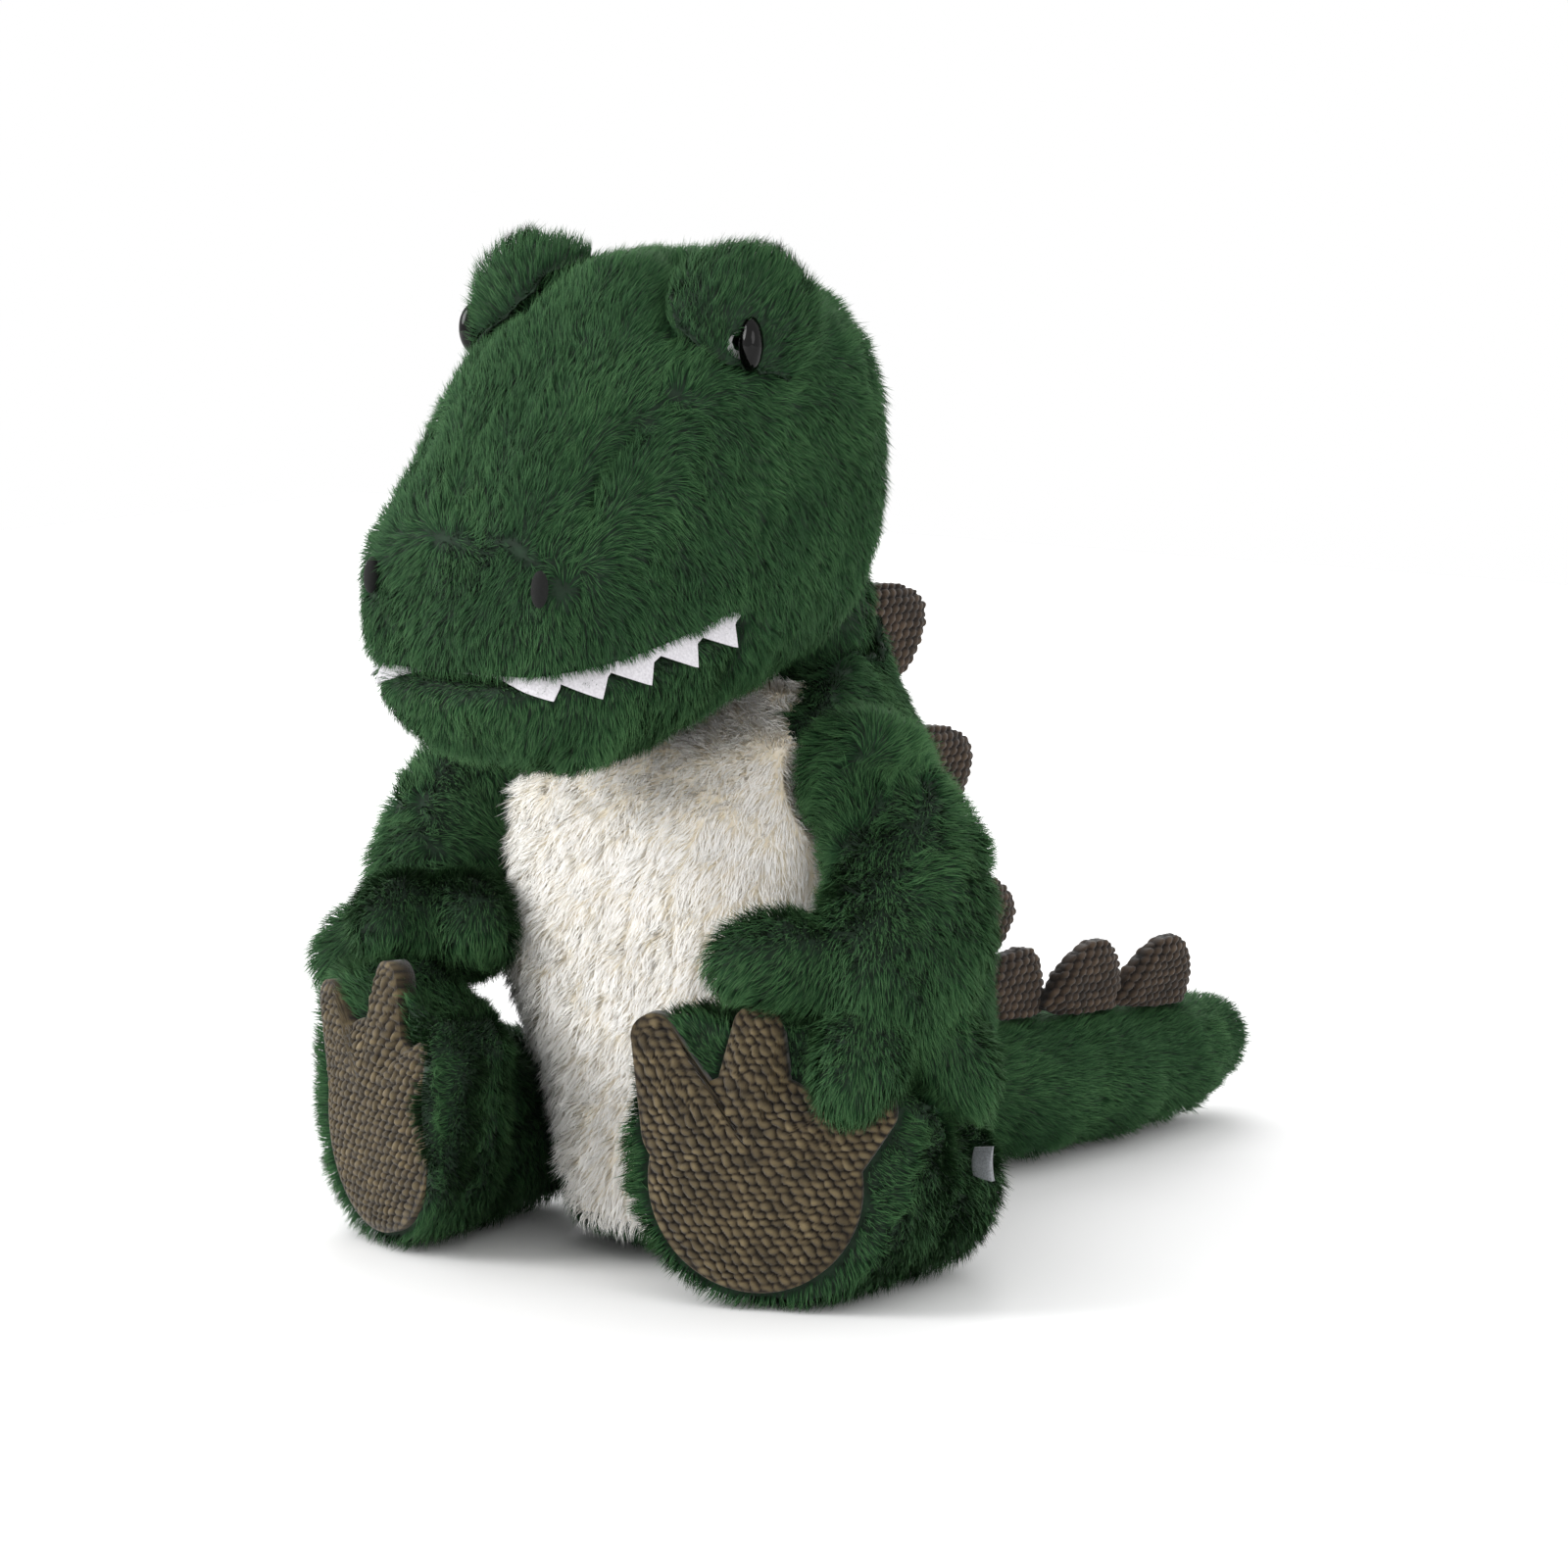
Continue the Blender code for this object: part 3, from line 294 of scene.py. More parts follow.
GREEN_PILE = plush_pile(
    "green_acrylic_plush",
    ((0.0, "#0c2011"), (0.45, "#143119"), (1.0, "#254b2b")),
    ((0.0, "#122d18"), (0.45, "#204626"), (1.0, "#557c4e")),
)
WHITE_PILE = plush_pile(
    "white_acrylic_plush",
    ((0.0, "#eadfc9"), (0.45, "#f7f3ea"), (1.0, "#fdfcfa")),
    ((0.0, "#f4eee2"), (0.45, "#fcfaf6"), (1.0, "#ffffff")),
)
GREEN_BACKING = plush_backing("green_plush_backing", "#0c2011", "#122d19")
WHITE_BACKING = plush_backing("white_plush_backing", "#e6dac0", "#f3ece0")
BROWN_KNIT = yarn_knit("brown_yarn_knit", "#1c1610", "#463b28", "#74664a")
DARK_KNIT = yarn_knit("dark_brown_yarn_knit", "#15100c", "#382c22", "#5c4c3d")
FELT = fibre_fabric("pale_wool_felt", "#bcb9be", "#d4d2d6", 1500.0, 0.15 * MM)
EYE_GLOSS = moulded_plastic("black_gloss_plastic", "#020202", 0.10, 0.0)
# Deep in the pile an eye mirrors dark fur, so only its lamp highlights are bright.
EYE_GLOSS.node_tree.nodes["Principled BSDF"].inputs["Specular IOR Level"].default_value = 0.22
WASHER = moulded_plastic("white_washer_plastic", "#c8c8c8", 0.45, 0.0)
THREAD = fibre_fabric("black_embroidery_thread", "#020302", "#070a08", 1800.0, 0.1 * MM, sheen=0.0)
RIBBON = fibre_fabric("grey_satin_ribbon", "#5f6266", "#86898d", 2200.0, 0.05 * MM, 0.6)
BEAN_CLOTH = fibre_fabric("unbleached_cotton_cloth", "#8f8b7f", "#b3afa2", 900.0, 0.2 * MM)


# ---------------------------------------------------------------- soft forms
def link(name, mesh):
    made = bpy.data.objects.new(name, mesh)
    bpy.context.scene.collection.objects.link(made)
    return made


def largest_island(mesh):
    """Keeps the connected part of a mesh that has the most points."""
    edges = np.empty(len(mesh.edges) * 2, np.int32)
    mesh.edges.foreach_get("vertices", edges)
    edges = edges.reshape(-1, 2)
    label = np.arange(len(mesh.vertices))
    while True:
        low = np.minimum(label[edges[:, 0]], label[edges[:, 1]])
        fresh = label.copy()
        np.minimum.at(fresh, edges[:, 0], low)
        np.minimum.at(fresh, edges[:, 1], low)
        fresh = fresh[fresh]
        if (fresh == label).all():
            break
        label = fresh
    names, sizes = np.unique(label, return_counts=True)
    lost = np.flatnonzero(label != names[sizes.argmax()])
    shaped = bmesh.new()
    shaped.from_mesh(mesh)
    shaped.verts.ensure_lookup_table()
    bmesh.ops.delete(shaped, geom=[shaped.verts[i] for i in lost], context="VERTS")
    shaped.to_mesh(mesh)
    shaped.free()
    return mesh


def soft_form(name, nodes, voxel, rounds):
    """One closed form round CAD nodes: copies joined, remade in voxels, then relaxed."""
    shaped = bmesh.new()
    for node in nodes:
        shaped.from_mesh(NODES[node].data)
    bmesh.ops.remove_doubles(shaped, verts=shaped.verts, dist=1e-6)
    mesh = bpy.data.meshes.new(name + "_start")
    shaped.to_mesh(mesh)
    shaped.free()
    made = link(name, mesh)
    remesh = made.modifiers.new("voxels", "REMESH")
    remesh.mode = "VOXEL"
    remesh.voxel_size = voxel
    relax = made.modifiers.new("relax", "SMOOTH")
    relax.factor = 0.5
    relax.iterations = rounds
    bpy.context.view_layer.update()
    graph = bpy.context.evaluated_depsgraph_get()
    final = bpy.data.meshes.new_from_object(made.evaluated_get(graph))
    made.modifiers.clear()
    made.data = largest_island(final)
    bpy.data.meshes.remove(mesh)
    made.data.name = name
    made.data.shade_smooth()
    return made


def points_of(mesh):
    points = np.empty(len(mesh.vertices) * 3, np.float32)
    mesh.vertices.foreach_get("co", points)
    return points.reshape(-1, 3).astype(float)


def normals_of(mesh):
    normals = np.empty(len(mesh.vertices) * 3, np.float32)
    mesh.vertex_normals.foreach_get("vector", normals)
    return normals.reshape(-1, 3).astype(float)


def move_points(made, points):
    made.data.vertices.foreach_set("co", points.astype(np.float32).ravel())
    made.data.update()


def triangles_of(mesh):
    mesh.calc_loop_triangles()
    faces = np.empty(len(mesh.loop_triangles) * 3, np.int32)
    mesh.loop_triangles.foreach_get("vertices", faces)
    return faces.reshape(-1, 3)


def padded_form(name, nodes, body, inset=FORM_INSET, voxel=2.6 * MM, rounds=9, dent=None,
                shape=None, filled_by=()):
    """A stuffed form under its pile: drawn in along its normals, a little lumpy, dented at seams."""
    made = soft_form(name, [*nodes, *filled_by], voxel, rounds)
    if shape is not None:
        move_points(made, shape(points_of(made.data)))
    points, normals = points_of(made.data), normals_of(made.data)
    lump = waves(points, 34 * MM, 5)[:, :1] * 0.5 * MM + waves(points, 13 * MM, 6)[:, :1] * 0.25 * MM
    drop = np.full((len(points), 1), inset)
    if dent is not None:
        drop += dent(points)[:, None]
    moved = points - normals * (drop - lump)
    moved[:, 2] = np.maximum(moved[:, 2], FLOOR_CLEARANCE)
    move_points(made, moved)
    made.data.materials.clear()
    made.data.materials.append(GREEN_BACKING)
    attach(made, body)
    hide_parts(*nodes)
    return made


# ---------------------------------------------------------------- pile
def roots_on(mesh, density, random):
    """Random points on a mesh, spread by area, with the normals interpolated between its points."""
    points, normals, faces = points_of(mesh), normals_of(mesh), triangles_of(mesh)
    corners = points[faces]
    area = np.linalg.norm(np.cross(corners[:, 1] - corners[:, 0], corners[:, 2] - corners[:, 0]), axis=1) / 2
    count = int(area.sum() / MM**2 * density)
    chosen = np.searchsorted(np.cumsum(area), random.uniform(0, area.sum(), count)).clip(0, len(faces) - 1)
    first, second = random.uniform(0, 1, (2, count))
    over = first + second > 1
    first, second = np.where(over, 1 - first, first), np.where(over, 1 - second, second)
    weights = np.stack([1 - first - second, first, second], 1)[:, :, None]
    return (corners[chosen] * weights).sum(1), unit((normals[faces[chosen]] * weights).sum(1))


def write_pile(name, strands, shading, tone, finish):
    """A mesh of fibres of three triangles each: a strip from root to middle, then a point."""
    count = len(strands)
    mesh = bpy.data.meshes.new(name)
    mesh.vertices.add(count * 5)
    mesh.vertices.foreach_set("co", strands.astype(np.float32).ravel())
    pattern = np.array([0, 1, 3, 0, 3, 2, 2, 3, 4], np.int32)
    corners = (np.arange(count, dtype=np.int32)[:, None] * 5 + pattern).ravel()
    mesh.loops.add(len(corners))
    mesh.loops.foreach_set("vertex_index", corners)
    mesh.polygons.add(count * 3)
    mesh.polygons.foreach_set("loop_start", np.arange(count * 3, dtype=np.int32) * 3)
    mesh.update(calc_edges=True)
    mesh.shade_smooth()
    along = mesh.attributes.new("along", "FLOAT", "POINT")
    along.data.foreach_set("value", np.tile(np.array([0, 0, 0.5, 0.5, 1], np.float32), count))
    shade = mesh.attributes.new("tone", "FLOAT", "POINT")
    shade.data.foreach_set("value", np.repeat(tone.astype(np.float32), 5))
    # Each fibre has its own cell of the OFBake UV map, with its root low and its tip high.
    side = int(np.ceil(np.sqrt(count)))
    cell = np.stack(np.divmod(np.arange(count), side)[::-1], 1)[:, None, :]
    shape = np.array([(0.1, 0.1), (0.9, 0.1), (0.1, 0.5), (0.9, 0.5), (0.5, 0.9)])
    places = ((cell + shape) / side).reshape(-1, 2)
    bake = mesh.uv_layers.new(name="OFBake")
    bake.data.foreach_set("uv", places[corners].astype(np.float32).ravel())
    mesh.normals_split_custom_set_from_vertices(np.repeat(shading, 5, axis=0).tolist())
    mesh.materials.append(finish)
    return link(name, mesh)


def pile(name, form, body, comb, finish=GREEN_PILE, length=PILE, lean=56, density=DENSITY, seed=1,
         tuft=TUFT, gather=0.16, keep=None, stray=0.06, width=FIBRE_WIDTH, painted_light_shift=0.0):
    """Fibres that grow from a form, lean the way the plush was combed, and gather into tufts.

    comb gives the way of the nap at each root. keep gives, for each root, the share of the pile
    that grows there and the length of its fibres as a share of the full length.
    """
    random = np.random.default_rng(seed)
    roots, normals = roots_on(form.data, density, random)
    share, scale = np.ones(len(roots)), np.ones(len(roots))
    if keep is not None:
        share, scale = keep(roots, normals)
    under = (normals[:, 2] < -0.6) & (roots[:, 2] < 8 * MM)
    share = np.where(under, share * 0.3, share)
    chosen = random.uniform(0, 1, len(roots)) < share
    roots, normals, scale = roots[chosen], normals[chosen], scale[chosen]
    count = len(roots)

    nap = comb(roots, normals)
    nap = nap + waves(roots, 26 * MM, seed + 1) * 0.17 + waves(roots, 8 * MM, seed + 2) * 0.09
    nap = unit(nap - normals * dot(nap, normals))
    centre, near, _, tuft_share = nearest_tuft(roots, tuft, seed + 3)
    angle = np.radians(lean + 8 * random.normal(size=(count, 1)) + 6 * waves(roots, 12 * MM, seed + 4)[:, :1])
    angle = np.clip(angle, 0.15, 1.4)
    tall = (scale * length * random.uniform(0.72, 1.08, count) * (1.06 - 0.16 * near))[:, None]
    low = normals * np.cos(angle * 0.6) + nap * np.sin(angle * 0.6)
    high = normals * np.cos(angle * 1.2) + nap * np.sin(angle * 1.2)
    pull = centre - roots
    pull -= normals * dot(pull, normals)
    start = roots - normals * 0.8 * MM
    middle = start + low * tall * 0.5 + pull * gather * 0.35
    tip = middle + high * tall * 0.5 + pull * gather * 0.55
    tip += random.normal(size=(count, 3)) * tall * stray

    turn = random.uniform(-1.2, 1.2, (count, 1))
    across = unit(np.cross(high, normals) + 1e-9)
    across = across * np.cos(turn) + np.cross(low, across) * np.sin(turn)
    flat = normals - high * dot(normals, high)
    shading = unit(normals * 0.8 + unit(flat) * 0.5 + random.normal(size=(count, 3)) * 0.14)
    faces_in = dot(np.cross(across, high), shading) < 0
    across = np.where(faces_in, -across, across)
    half = across * width * random.uniform(0.38, 0.62, (count, 1))
    strands = np.stack([start - half, start + half, middle - half * 0.8, middle + half * 0.8, tip], 1)
    strands[:, :, 2] = np.maximum(strands[:, :, 2], FLOOR_CLEARANCE)
    patch = waves(roots, 30 * MM, seed + 5)[:, 0] * 0.10
    # The tone varies at random by tuft, patch and fibre. The shift raises it on whole parts, jaw, arms and
    # legs, as painted light on the one green plush.
    tone = 0.45 + 0.14 * (tuft_share - 0.5) + patch + 0.15 * random.normal(size=count) + painted_light_shift
    # Short fibres along the seams, round the nostrils and eyes and at the lip get a darker tone: painted
    # shade in these creases.
    tone -= 0.9 * np.clip(0.8 - scale, 0, 1)
    tone = np.clip(tone, 0, 1)
    made = []
    pieces = int(np.ceil(count / FIBRES_PER_PIECE))
    for number, part in enumerate(np.array_split(np.arange(count), pieces), 1):
        label = name if pieces == 1 else f"{name}_{number}"
        piece = write_pile(label, strands[part], shading[part], tone[part], finish)
        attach(piece, body)
        made.append(piece)
    return made


def constant(*direction):
    way = np.array(direction, float)
    return lambda points, normals: np.broadcast_to(way, points.shape)


# ---------------------------------------------------------------- body and belly
def belly_share(points):
    """How far inside the belly's outline a point is: above 0 inside, below 0 outside, in metres.

    The half width is W sin(pi (0.06 + 0.7 h))^0.75 over the height share h, and narrows at the chest.
    """
    rise = points[:, 2] - BELLY_BOTTOM
    height = np.clip(rise / BELLY_HEIGHT, 0, 1)
    width = BELLY_HALF_WIDTH * np.sin(np.pi * (0.06 + height * 0.70)) ** 0.75
    width *= 1 - 0.45 * ease(points[:, 2], 134 * MM, 166 * MM)
    inside = np.minimum(width - abs(points[:, 0]), rise)
    return np.where(points[:, 1] < BELLY_SIDE_Y, inside, -0.05)


def body_keep(points, normals):
    covered = ease(-belly_share(points), -0.5 * MM, 1.5 * MM)
    neck = ease(points[:, 2], 176 * MM, 184 * MM)
    return covered * (1 - neck), np.ones(len(points))


def belly_keep(points, normals):
    shown = ease(belly_share(points), -1.5 * MM, 0.5 * MM)
    return shown, np.ones(len(points))


def swell(*mounds):
    """Mounds of stuffing, as dents below zero: height times exp(-r^2), r measured in half sizes.

    Each mound has its place and its half sizes by axis in millimetres, and its height in metres.
    """
    def dent(points):
        total = np.zeros(len(points))
        for place, sizes, height in mounds:
            gap = (points - np.array(place) * MM) / (np.array(sizes) * MM)
            total -= height * np.exp(-(gap**2).sum(1))
        return total

    return dent


BELLY_MOUNDS = swell(((-44, -46, 70), (26, 26, 30), 9 * MM), ((44, -46, 70), (26, 26, 30), 9 * MM))
body_form = padded_form("body_form", ["body_skin", "body_stuffing", "belly_panel"], "body",
                        rounds=12, dent=BELLY_MOUNDS, filled_by=("bean_bag",))
body_form.data.materials.append(WHITE_BACKING)
face_places = np.empty(len(body_form.data.polygons) * 3, np.float32)
body_form.data.polygons.foreach_get("center", face_places)
whites = (belly_share(face_places.reshape(-1, 3).astype(float)) > 0).astype(np.int32)
body_form.data.polygons.foreach_set("material_index", whites)
pile("body_pile", body_form, "body", constant(0, 0.15, -1), keep=body_keep, seed=11)
pile("belly_pile", body_form, "body", constant(0, 0, -1), finish=WHITE_PILE, keep=belly_keep,
     length=7 * MM, lean=46, tuft=8 * MM, gather=0.26, density=2.9, seed=12, stray=0.10)


# The bean bag lies inside the seat, and nothing of it shows.
bean_bag = padded_form("bean_bag_pouch", ["bean_bag"], "body", inset=6 * MM, rounds=9)
bean_bag.data.materials.clear()
bean_bag.data.materials.append(BEAN_CLOTH)


# ---------------------------------------------------------------- head
def both_sides(line):
    return [line, line * (-1, 1, 1)]


SEAMS = both_sides(BROW_SEAM) + both_sides(SNOUT_SEAM)


def mouth_height(y):
    return MOUTH_CORNER_Z + (y - MOUTH_CORNER_Y) * MOUTH_SLOPE


def seam_dent(points):
    """Seams pull the form in: a narrow valley beside each line, with a wider, shallower one."""
    drop = np.zeros(len(points))
    for line in SEAMS:
        gap = line_distance(points, line)
        drop += 3.6 * MM * np.exp(-((gap / (4 * MM)) ** 2)) + 1.4 * MM * np.exp(-((gap / (10 * MM)) ** 2))
    return drop


def head_comb(points, normals):
    """Back over the crown and down the cheeks."""
    down = ease(-normals[:, 2], -0.75, 0.1)[:, None]
    back = np.array((0.0, 0.95, 0.25)) * (1 - down)
    return back + np.array((0.0, 0.25, -1.0)) * down


def eye_places():
    return [np.array(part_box(f"eye_{side}")).mean(0) for side in ("left", "right")]


def nostril_places():
    return [np.array(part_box(f"nostril_{side}")).mean(0) for side in ("left", "right")]


def head_keep(points, normals):
    share, scale = np.ones(len(points)), np.ones(len(points))
    # Fibres made short here get a darker tone in pile(): painted shade along the seams, round the nostrils
    # and at the lip.
    for line in SEAMS:
        gap = line_distance(points, line)
        scale *= 0.22 + 0.78 * ease(gap, 0.3 * MM, 5 * MM)
    for place in nostril_places():
        gap = np.linalg.norm(points - place, axis=1)
        scale *= 0.50 + 0.50 * ease(gap, 3 * MM, 9 * MM)
    front = points[:, 1] < MOUTH_CORNER_Y + 2 * MM
    above = points[:, 2] - mouth_height(points[:, 1])
    scale *= np.where(front, 0.55 + 0.45 * ease(above, 0 * MM, 9 * MM), 1)
    share *= np.where(front & (above < -0.4 * MM), 0.0, 1.0)
    return share, scale


def jaw_keep(points, normals):
    below = mouth_height(points[:, 1]) - points[:, 2]
    share = ease(below, -1.5 * MM, 0.5 * MM)
    return share, 0.80 + 0.20 * ease(below, 2 * MM, 12 * MM)


def brow_comb(side):
    return constant(side * 0.35, 0.35, 0.8)


def brow_keep(side):
    eye = eye_places()[0 if side > 0 else 1]

    def kept(points, normals):
        gap = np.linalg.norm((points - eye) * (1.25, 1.25, 0.75), axis=1)
        # Fibres made short round the eye get a darker tone in pile(): painted shade.
        return ease(gap, 1.5 * MM, 4 * MM), 0.62 + 0.50 * ease(gap, 5 * MM, 13 * MM)

    return kept


def brow_spread(side):
    """Draws a brow out towards the crown: its width is stretched away from its outer edge."""
    def shape(points):
        outer = side * BROW_EDGE
        wide = outer + (points[:, 0] - outer) * BROW_STRETCH
        return np.column_stack([wide, points[:, 1], points[:, 2] - 0.4 * MM])

    return shape


head_form = padded_form("head_form", ["head_skin", "head_stuffing"], "head",
                        rounds=10, dent=seam_dent)
jaw_form = padded_form("jaw_form", ["jaw_skin", "jaw_stuffing"], "head",
                       inset=-0.6 * MM, rounds=3)
pile("head_pile", head_form, "head", head_comb, keep=head_keep, seed=21)
# The jaw's pile gets a lighter tone than the head's: painted light.
pile("jaw_pile", jaw_form, "head", constant(0, -0.2, -1), keep=jaw_keep, seed=22, gather=0.3,
     lean=44, painted_light_shift=0.22)
neck_form = padded_form("neck_form", ["neck_skin", "neck_stuffing"], "neck", inset=3 * MM)
pile("neck_pile", neck_form, "neck", constant(0, 0, -1), seed=23, density=1.2)
for side, label in ((1, "left"), (-1, "right")):
    brow = padded_form(f"brow_form_{label}", [f"brow_skin_{label}", f"brow_stuffing_{label}"], "head",
                       inset=1.6 * MM, voxel=1.6 * MM, rounds=8, shape=brow_spread(side))
    pile(f"brow_pile_{label}", brow, "head", brow_comb(side), keep=brow_keep(side),
         seed=24 + side, lean=46, density=2.1)


def eye(label):
    """The oval eye: its solid's mesh merged, sunk, narrowed sideways and subdivided twice.

    Each point loses a share of its distance from the middle along the sideways direction.
    """
    shaped = bmesh.new()
    shaped.from_mesh(NODES[f"eye_{label}"].data)
    bmesh.ops.remove_doubles(shaped, verts=shaped.verts, dist=1e-6)
    bmesh.ops.translate(shaped, verts=shaped.verts, vec=Vector(EYE_SINK[label]))
    points = np.array([point.co for point in shaped.verts])
    across = unit(np.array((EYE_SINK[label][1], -EYE_SINK[label][0], 0.0)))
    points -= dot(points - points.mean(0), across) * across * EYE_NARROWING
    for point, place in zip(shaped.verts, points):
        point.co = place
    mesh = bpy.data.meshes.new(f"eye_dome_{label}")
    shaped.to_mesh(mesh)
    shaped.free()
    mesh.shade_smooth()
    mesh.materials.clear()
    mesh.materials.append(EYE_GLOSS)
    made = link(f"eye_dome_{label}", mesh)
    smooth = made.modifiers.new("smooth", "SUBSURF")
    smooth.levels = smooth.render_levels = 2
    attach(made, "head")
    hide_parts(f"eye_{label}")
    return made


def revolved(name, centre, normal, radii, finish, count=24, rows=10):
    """A closed ellipsoid: its polar grid is cos and sin of latitude times the three half-axes."""
    frame_turn = np.array(Vector(normal).to_track_quat("Z", "Y").to_matrix())
    latitude = np.linspace(0, np.pi, rows + 2)[1:-1, None]
    around = np.linspace(0, 2 * np.pi, count, endpoint=False)[None]
    grid = np.stack([np.sin(latitude) * np.cos(around), np.sin(latitude) * np.sin(around),
                     np.cos(latitude) + 0 * around], -1)
    points = np.concatenate([grid.reshape(-1, 3), [(0, 0, 1), (0, 0, -1)]]) * radii @ frame_turn.T + centre
    row, column = np.meshgrid(np.arange(rows - 1), np.arange(count), indexing="ij")
    here, beside = row * count + column, row * count + (column + 1) % count
    quads = np.stack([here, here + count, beside + count, beside], -1).reshape(-1, 4)
    columns = np.arange(count)
    top = np.stack([np.full(count, rows * count), columns, (columns + 1) % count], 1)
    last = (rows - 1) * count
    end = np.stack([np.full(count, rows * count + 1), last + (columns + 1) % count, last + columns], 1)
    mesh = bpy.data.meshes.new(name)
    mesh.from_pydata(points.tolist(), [], quads.tolist() + top.tolist() + end.tolist())
    mesh.shade_smooth()
    mesh.materials.append(finish)
    return link(name, mesh)


for label, place in zip(("left", "right"), nostril_places()):
    eye(label)
    outward = np.array((np.sign(place[0]) * 0.35, -1.0, 0.1))
    nostril = revolved(f"nostril_stitch_{label}", place + (0, 3.0 * MM, 0), outward,
                       np.array((2.4, 5.0, 2.0)) * MM, THREAD)
    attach(nostril, "head")
    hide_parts(f"nostril_{label}")


def mouth_path(outset, shares):
    """The lip in plan: a superellipse, x = W cos(t)^p and y = C - D sin(t)^p, by share of its length."""
    turn = np.linspace(0, np.pi, 600)
    power = 2 / MOUTH_POWER
    across = np.sign(np.cos(turn)) * abs(np.cos(turn)) ** power * (MOUTH_HALF_WIDTH + outset)
    depth = MOUTH_CORNER_Y - np.sin(turn) ** power * (MOUTH_DEPTH + outset)
    run = np.concatenate([[0], np.cumsum(np.hypot(np.diff(across), np.diff(depth)))])
    at = shares * run[-1]
    return np.stack([np.interp(at, run, across), np.interp(at, run, depth)], 1)


def teeth():
    """One felt strip in the lip seam, its lower edge cut in five leaning teeth a side.

    Its section is a thin rectangle from a top line under the lip to a lower line, and the lower
    line moves out from the top one by the hang's share of a full tooth.
    """
    # The lower edge, as the place along the half mouth from its corner and the hang there, in
    # millimetres. A tooth is steep on the side towards the corner and long on the other.
    edge = [(0.5, 0.8), (2.8, 1.6)]
    for tip, hang in TEETH:
        edge += [(tip - 1.6, 2.2), (tip, hang), (tip + 0.9, hang * 0.95), (tip + 11.6, 1.3)]
    edge += [(79, 0.2), (84, -0.6), (95, -1.0)]
    edge = np.array(edge)
    stops = np.unique(np.concatenate([np.arange(0.5, 95.0, 0.5), edge[:, 0]]))
    hang = np.interp(stops, edge[:, 0], edge[:, 1]) * MM
    length = 2 * HALF_MOUTH_LENGTH
    places = np.concatenate([stops, length - stops[::-1]])
    shares = places / length
    hang = np.concatenate([hang, hang[::-1]])
    # The strip is sewn in deeper at the front of the mouth, where only its edge shows.
    sunk = ease(np.minimum(places, length - places), 70, 84)[:, None]
    top_line = mouth_path(-2.4 * MM, shares) * (1 - sunk) + mouth_path(-5.0 * MM, shares) * sunk
    tip_line = mouth_path(1.2 * MM, shares)
    share = np.clip(hang / (8 * MM), 0, 1)[:, None]
    low_line = top_line * (1 - share) + tip_line * share
    outward = unit(mouth_path(6 * MM, shares) - mouth_path(0.0, shares)) * FELT_THICKNESS
    top = mouth_height(top_line[:, 1]) + 2.0 * MM
    low = mouth_height(top_line[:, 1]) - hang + 0.8 * MM
    ring = np.stack([
        np.column_stack([top_line, top]),
        np.column_stack([top_line + outward, top]),
        np.column_stack([low_line + outward, low]),
        np.column_stack([low_line, low]),
    ], 1)
    count = len(ring)
    here = (np.arange(count - 1)[:, None] * 4 + np.arange(4)).ravel()
    beside = (np.arange(count - 1)[:, None] * 4 + (np.arange(4) + 1) % 4).ravel()
    faces = np.stack([here, beside, beside + 4, here + 4], 1).tolist()
    faces += [[3, 2, 1, 0], [4 * count - 4, 4 * count - 3, 4 * count - 2, 4 * count - 1]]
    mesh = bpy.data.meshes.new("felt_teeth")
    mesh.from_pydata(ring.reshape(-1, 3).tolist(), [], faces)
    shaped = bmesh.new()
    shaped.from_mesh(mesh)
    bmesh.ops.recalc_face_normals(shaped, faces=shaped.faces)
    shaped.to_mesh(mesh)
    shaped.free()
    mesh.materials.append(FELT)
    made = link("felt_teeth", mesh)
    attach(made, "head")
    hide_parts("teeth_felt")


teeth()


# ---------------------------------------------------------------- arms
def outward_from(centre, down):
    """The nap of a paw: away from its middle, and downwards."""
    def comb(points, normals):
        return unit(points - centre) * 0.9 + np.array((0.0, -0.15, -down))
    return comb


HAND_MOUNDS = {
    "left": swell(((66, -98, 98), (16, 18, 16), 3.5 * MM)),
    "right": swell(((-56, -66, 62), (24, 30, 24), 10 * MM)),
}
for side, label in ((1, "left"), (-1, "right")):
    arm = padded_form(f"arm_form_{label}", [f"arm_skin_{label}", f"arm_stuffing_{label}"], f"arm_{label}",
                      inset=1.2 * MM, voxel=2.2 * MM, rounds=7, dent=HAND_MOUNDS[label])
    low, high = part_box(f"arm_skin_{label}")
    palm = np.array(((low.x + high.x) / 2, (low.y + high.y) / 2, low.z * 0.6 + high.z * 0.4))
    # The arms' pile gets a lighter tone than the body's: painted light.
    pile(f"arm_pile_{label}", arm, f"arm_{label}", outward_from(palm, 0.8), seed=30 + side,
         length=7.4 * MM, lean=46, painted_light_shift=0.26)


# ---------------------------------------------------------------- knit
def stitches(across, up, width, rise):
    """Moss stitch: rows of leaning beads, each row half a stitch along from the one below.

    A bead falls away from its middle as 1 - x^2 - y^2, x and y measured in half stitches.
    """
    row = np.floor(up / rise)
    y = up / rise - row - 0.5
    shifted = across / width + 0.5 * np.mod(row, 2) + 0.34 * y
    column = np.floor(shifted)
    chance = np.sin(row * 12.9898 + column * 78.233) * 43758.5453
    chance -= np.floor(chance)
    x = shifted - column - 0.5 + 0.10 * (chance - 0.5)
    bead = np.maximum(1 - (2 * x) ** 2 * 0.95 - (2 * y) ** 2 * 0.85, 0) ** 0.55
    return bead * (0.68 + 0.32 * chance)


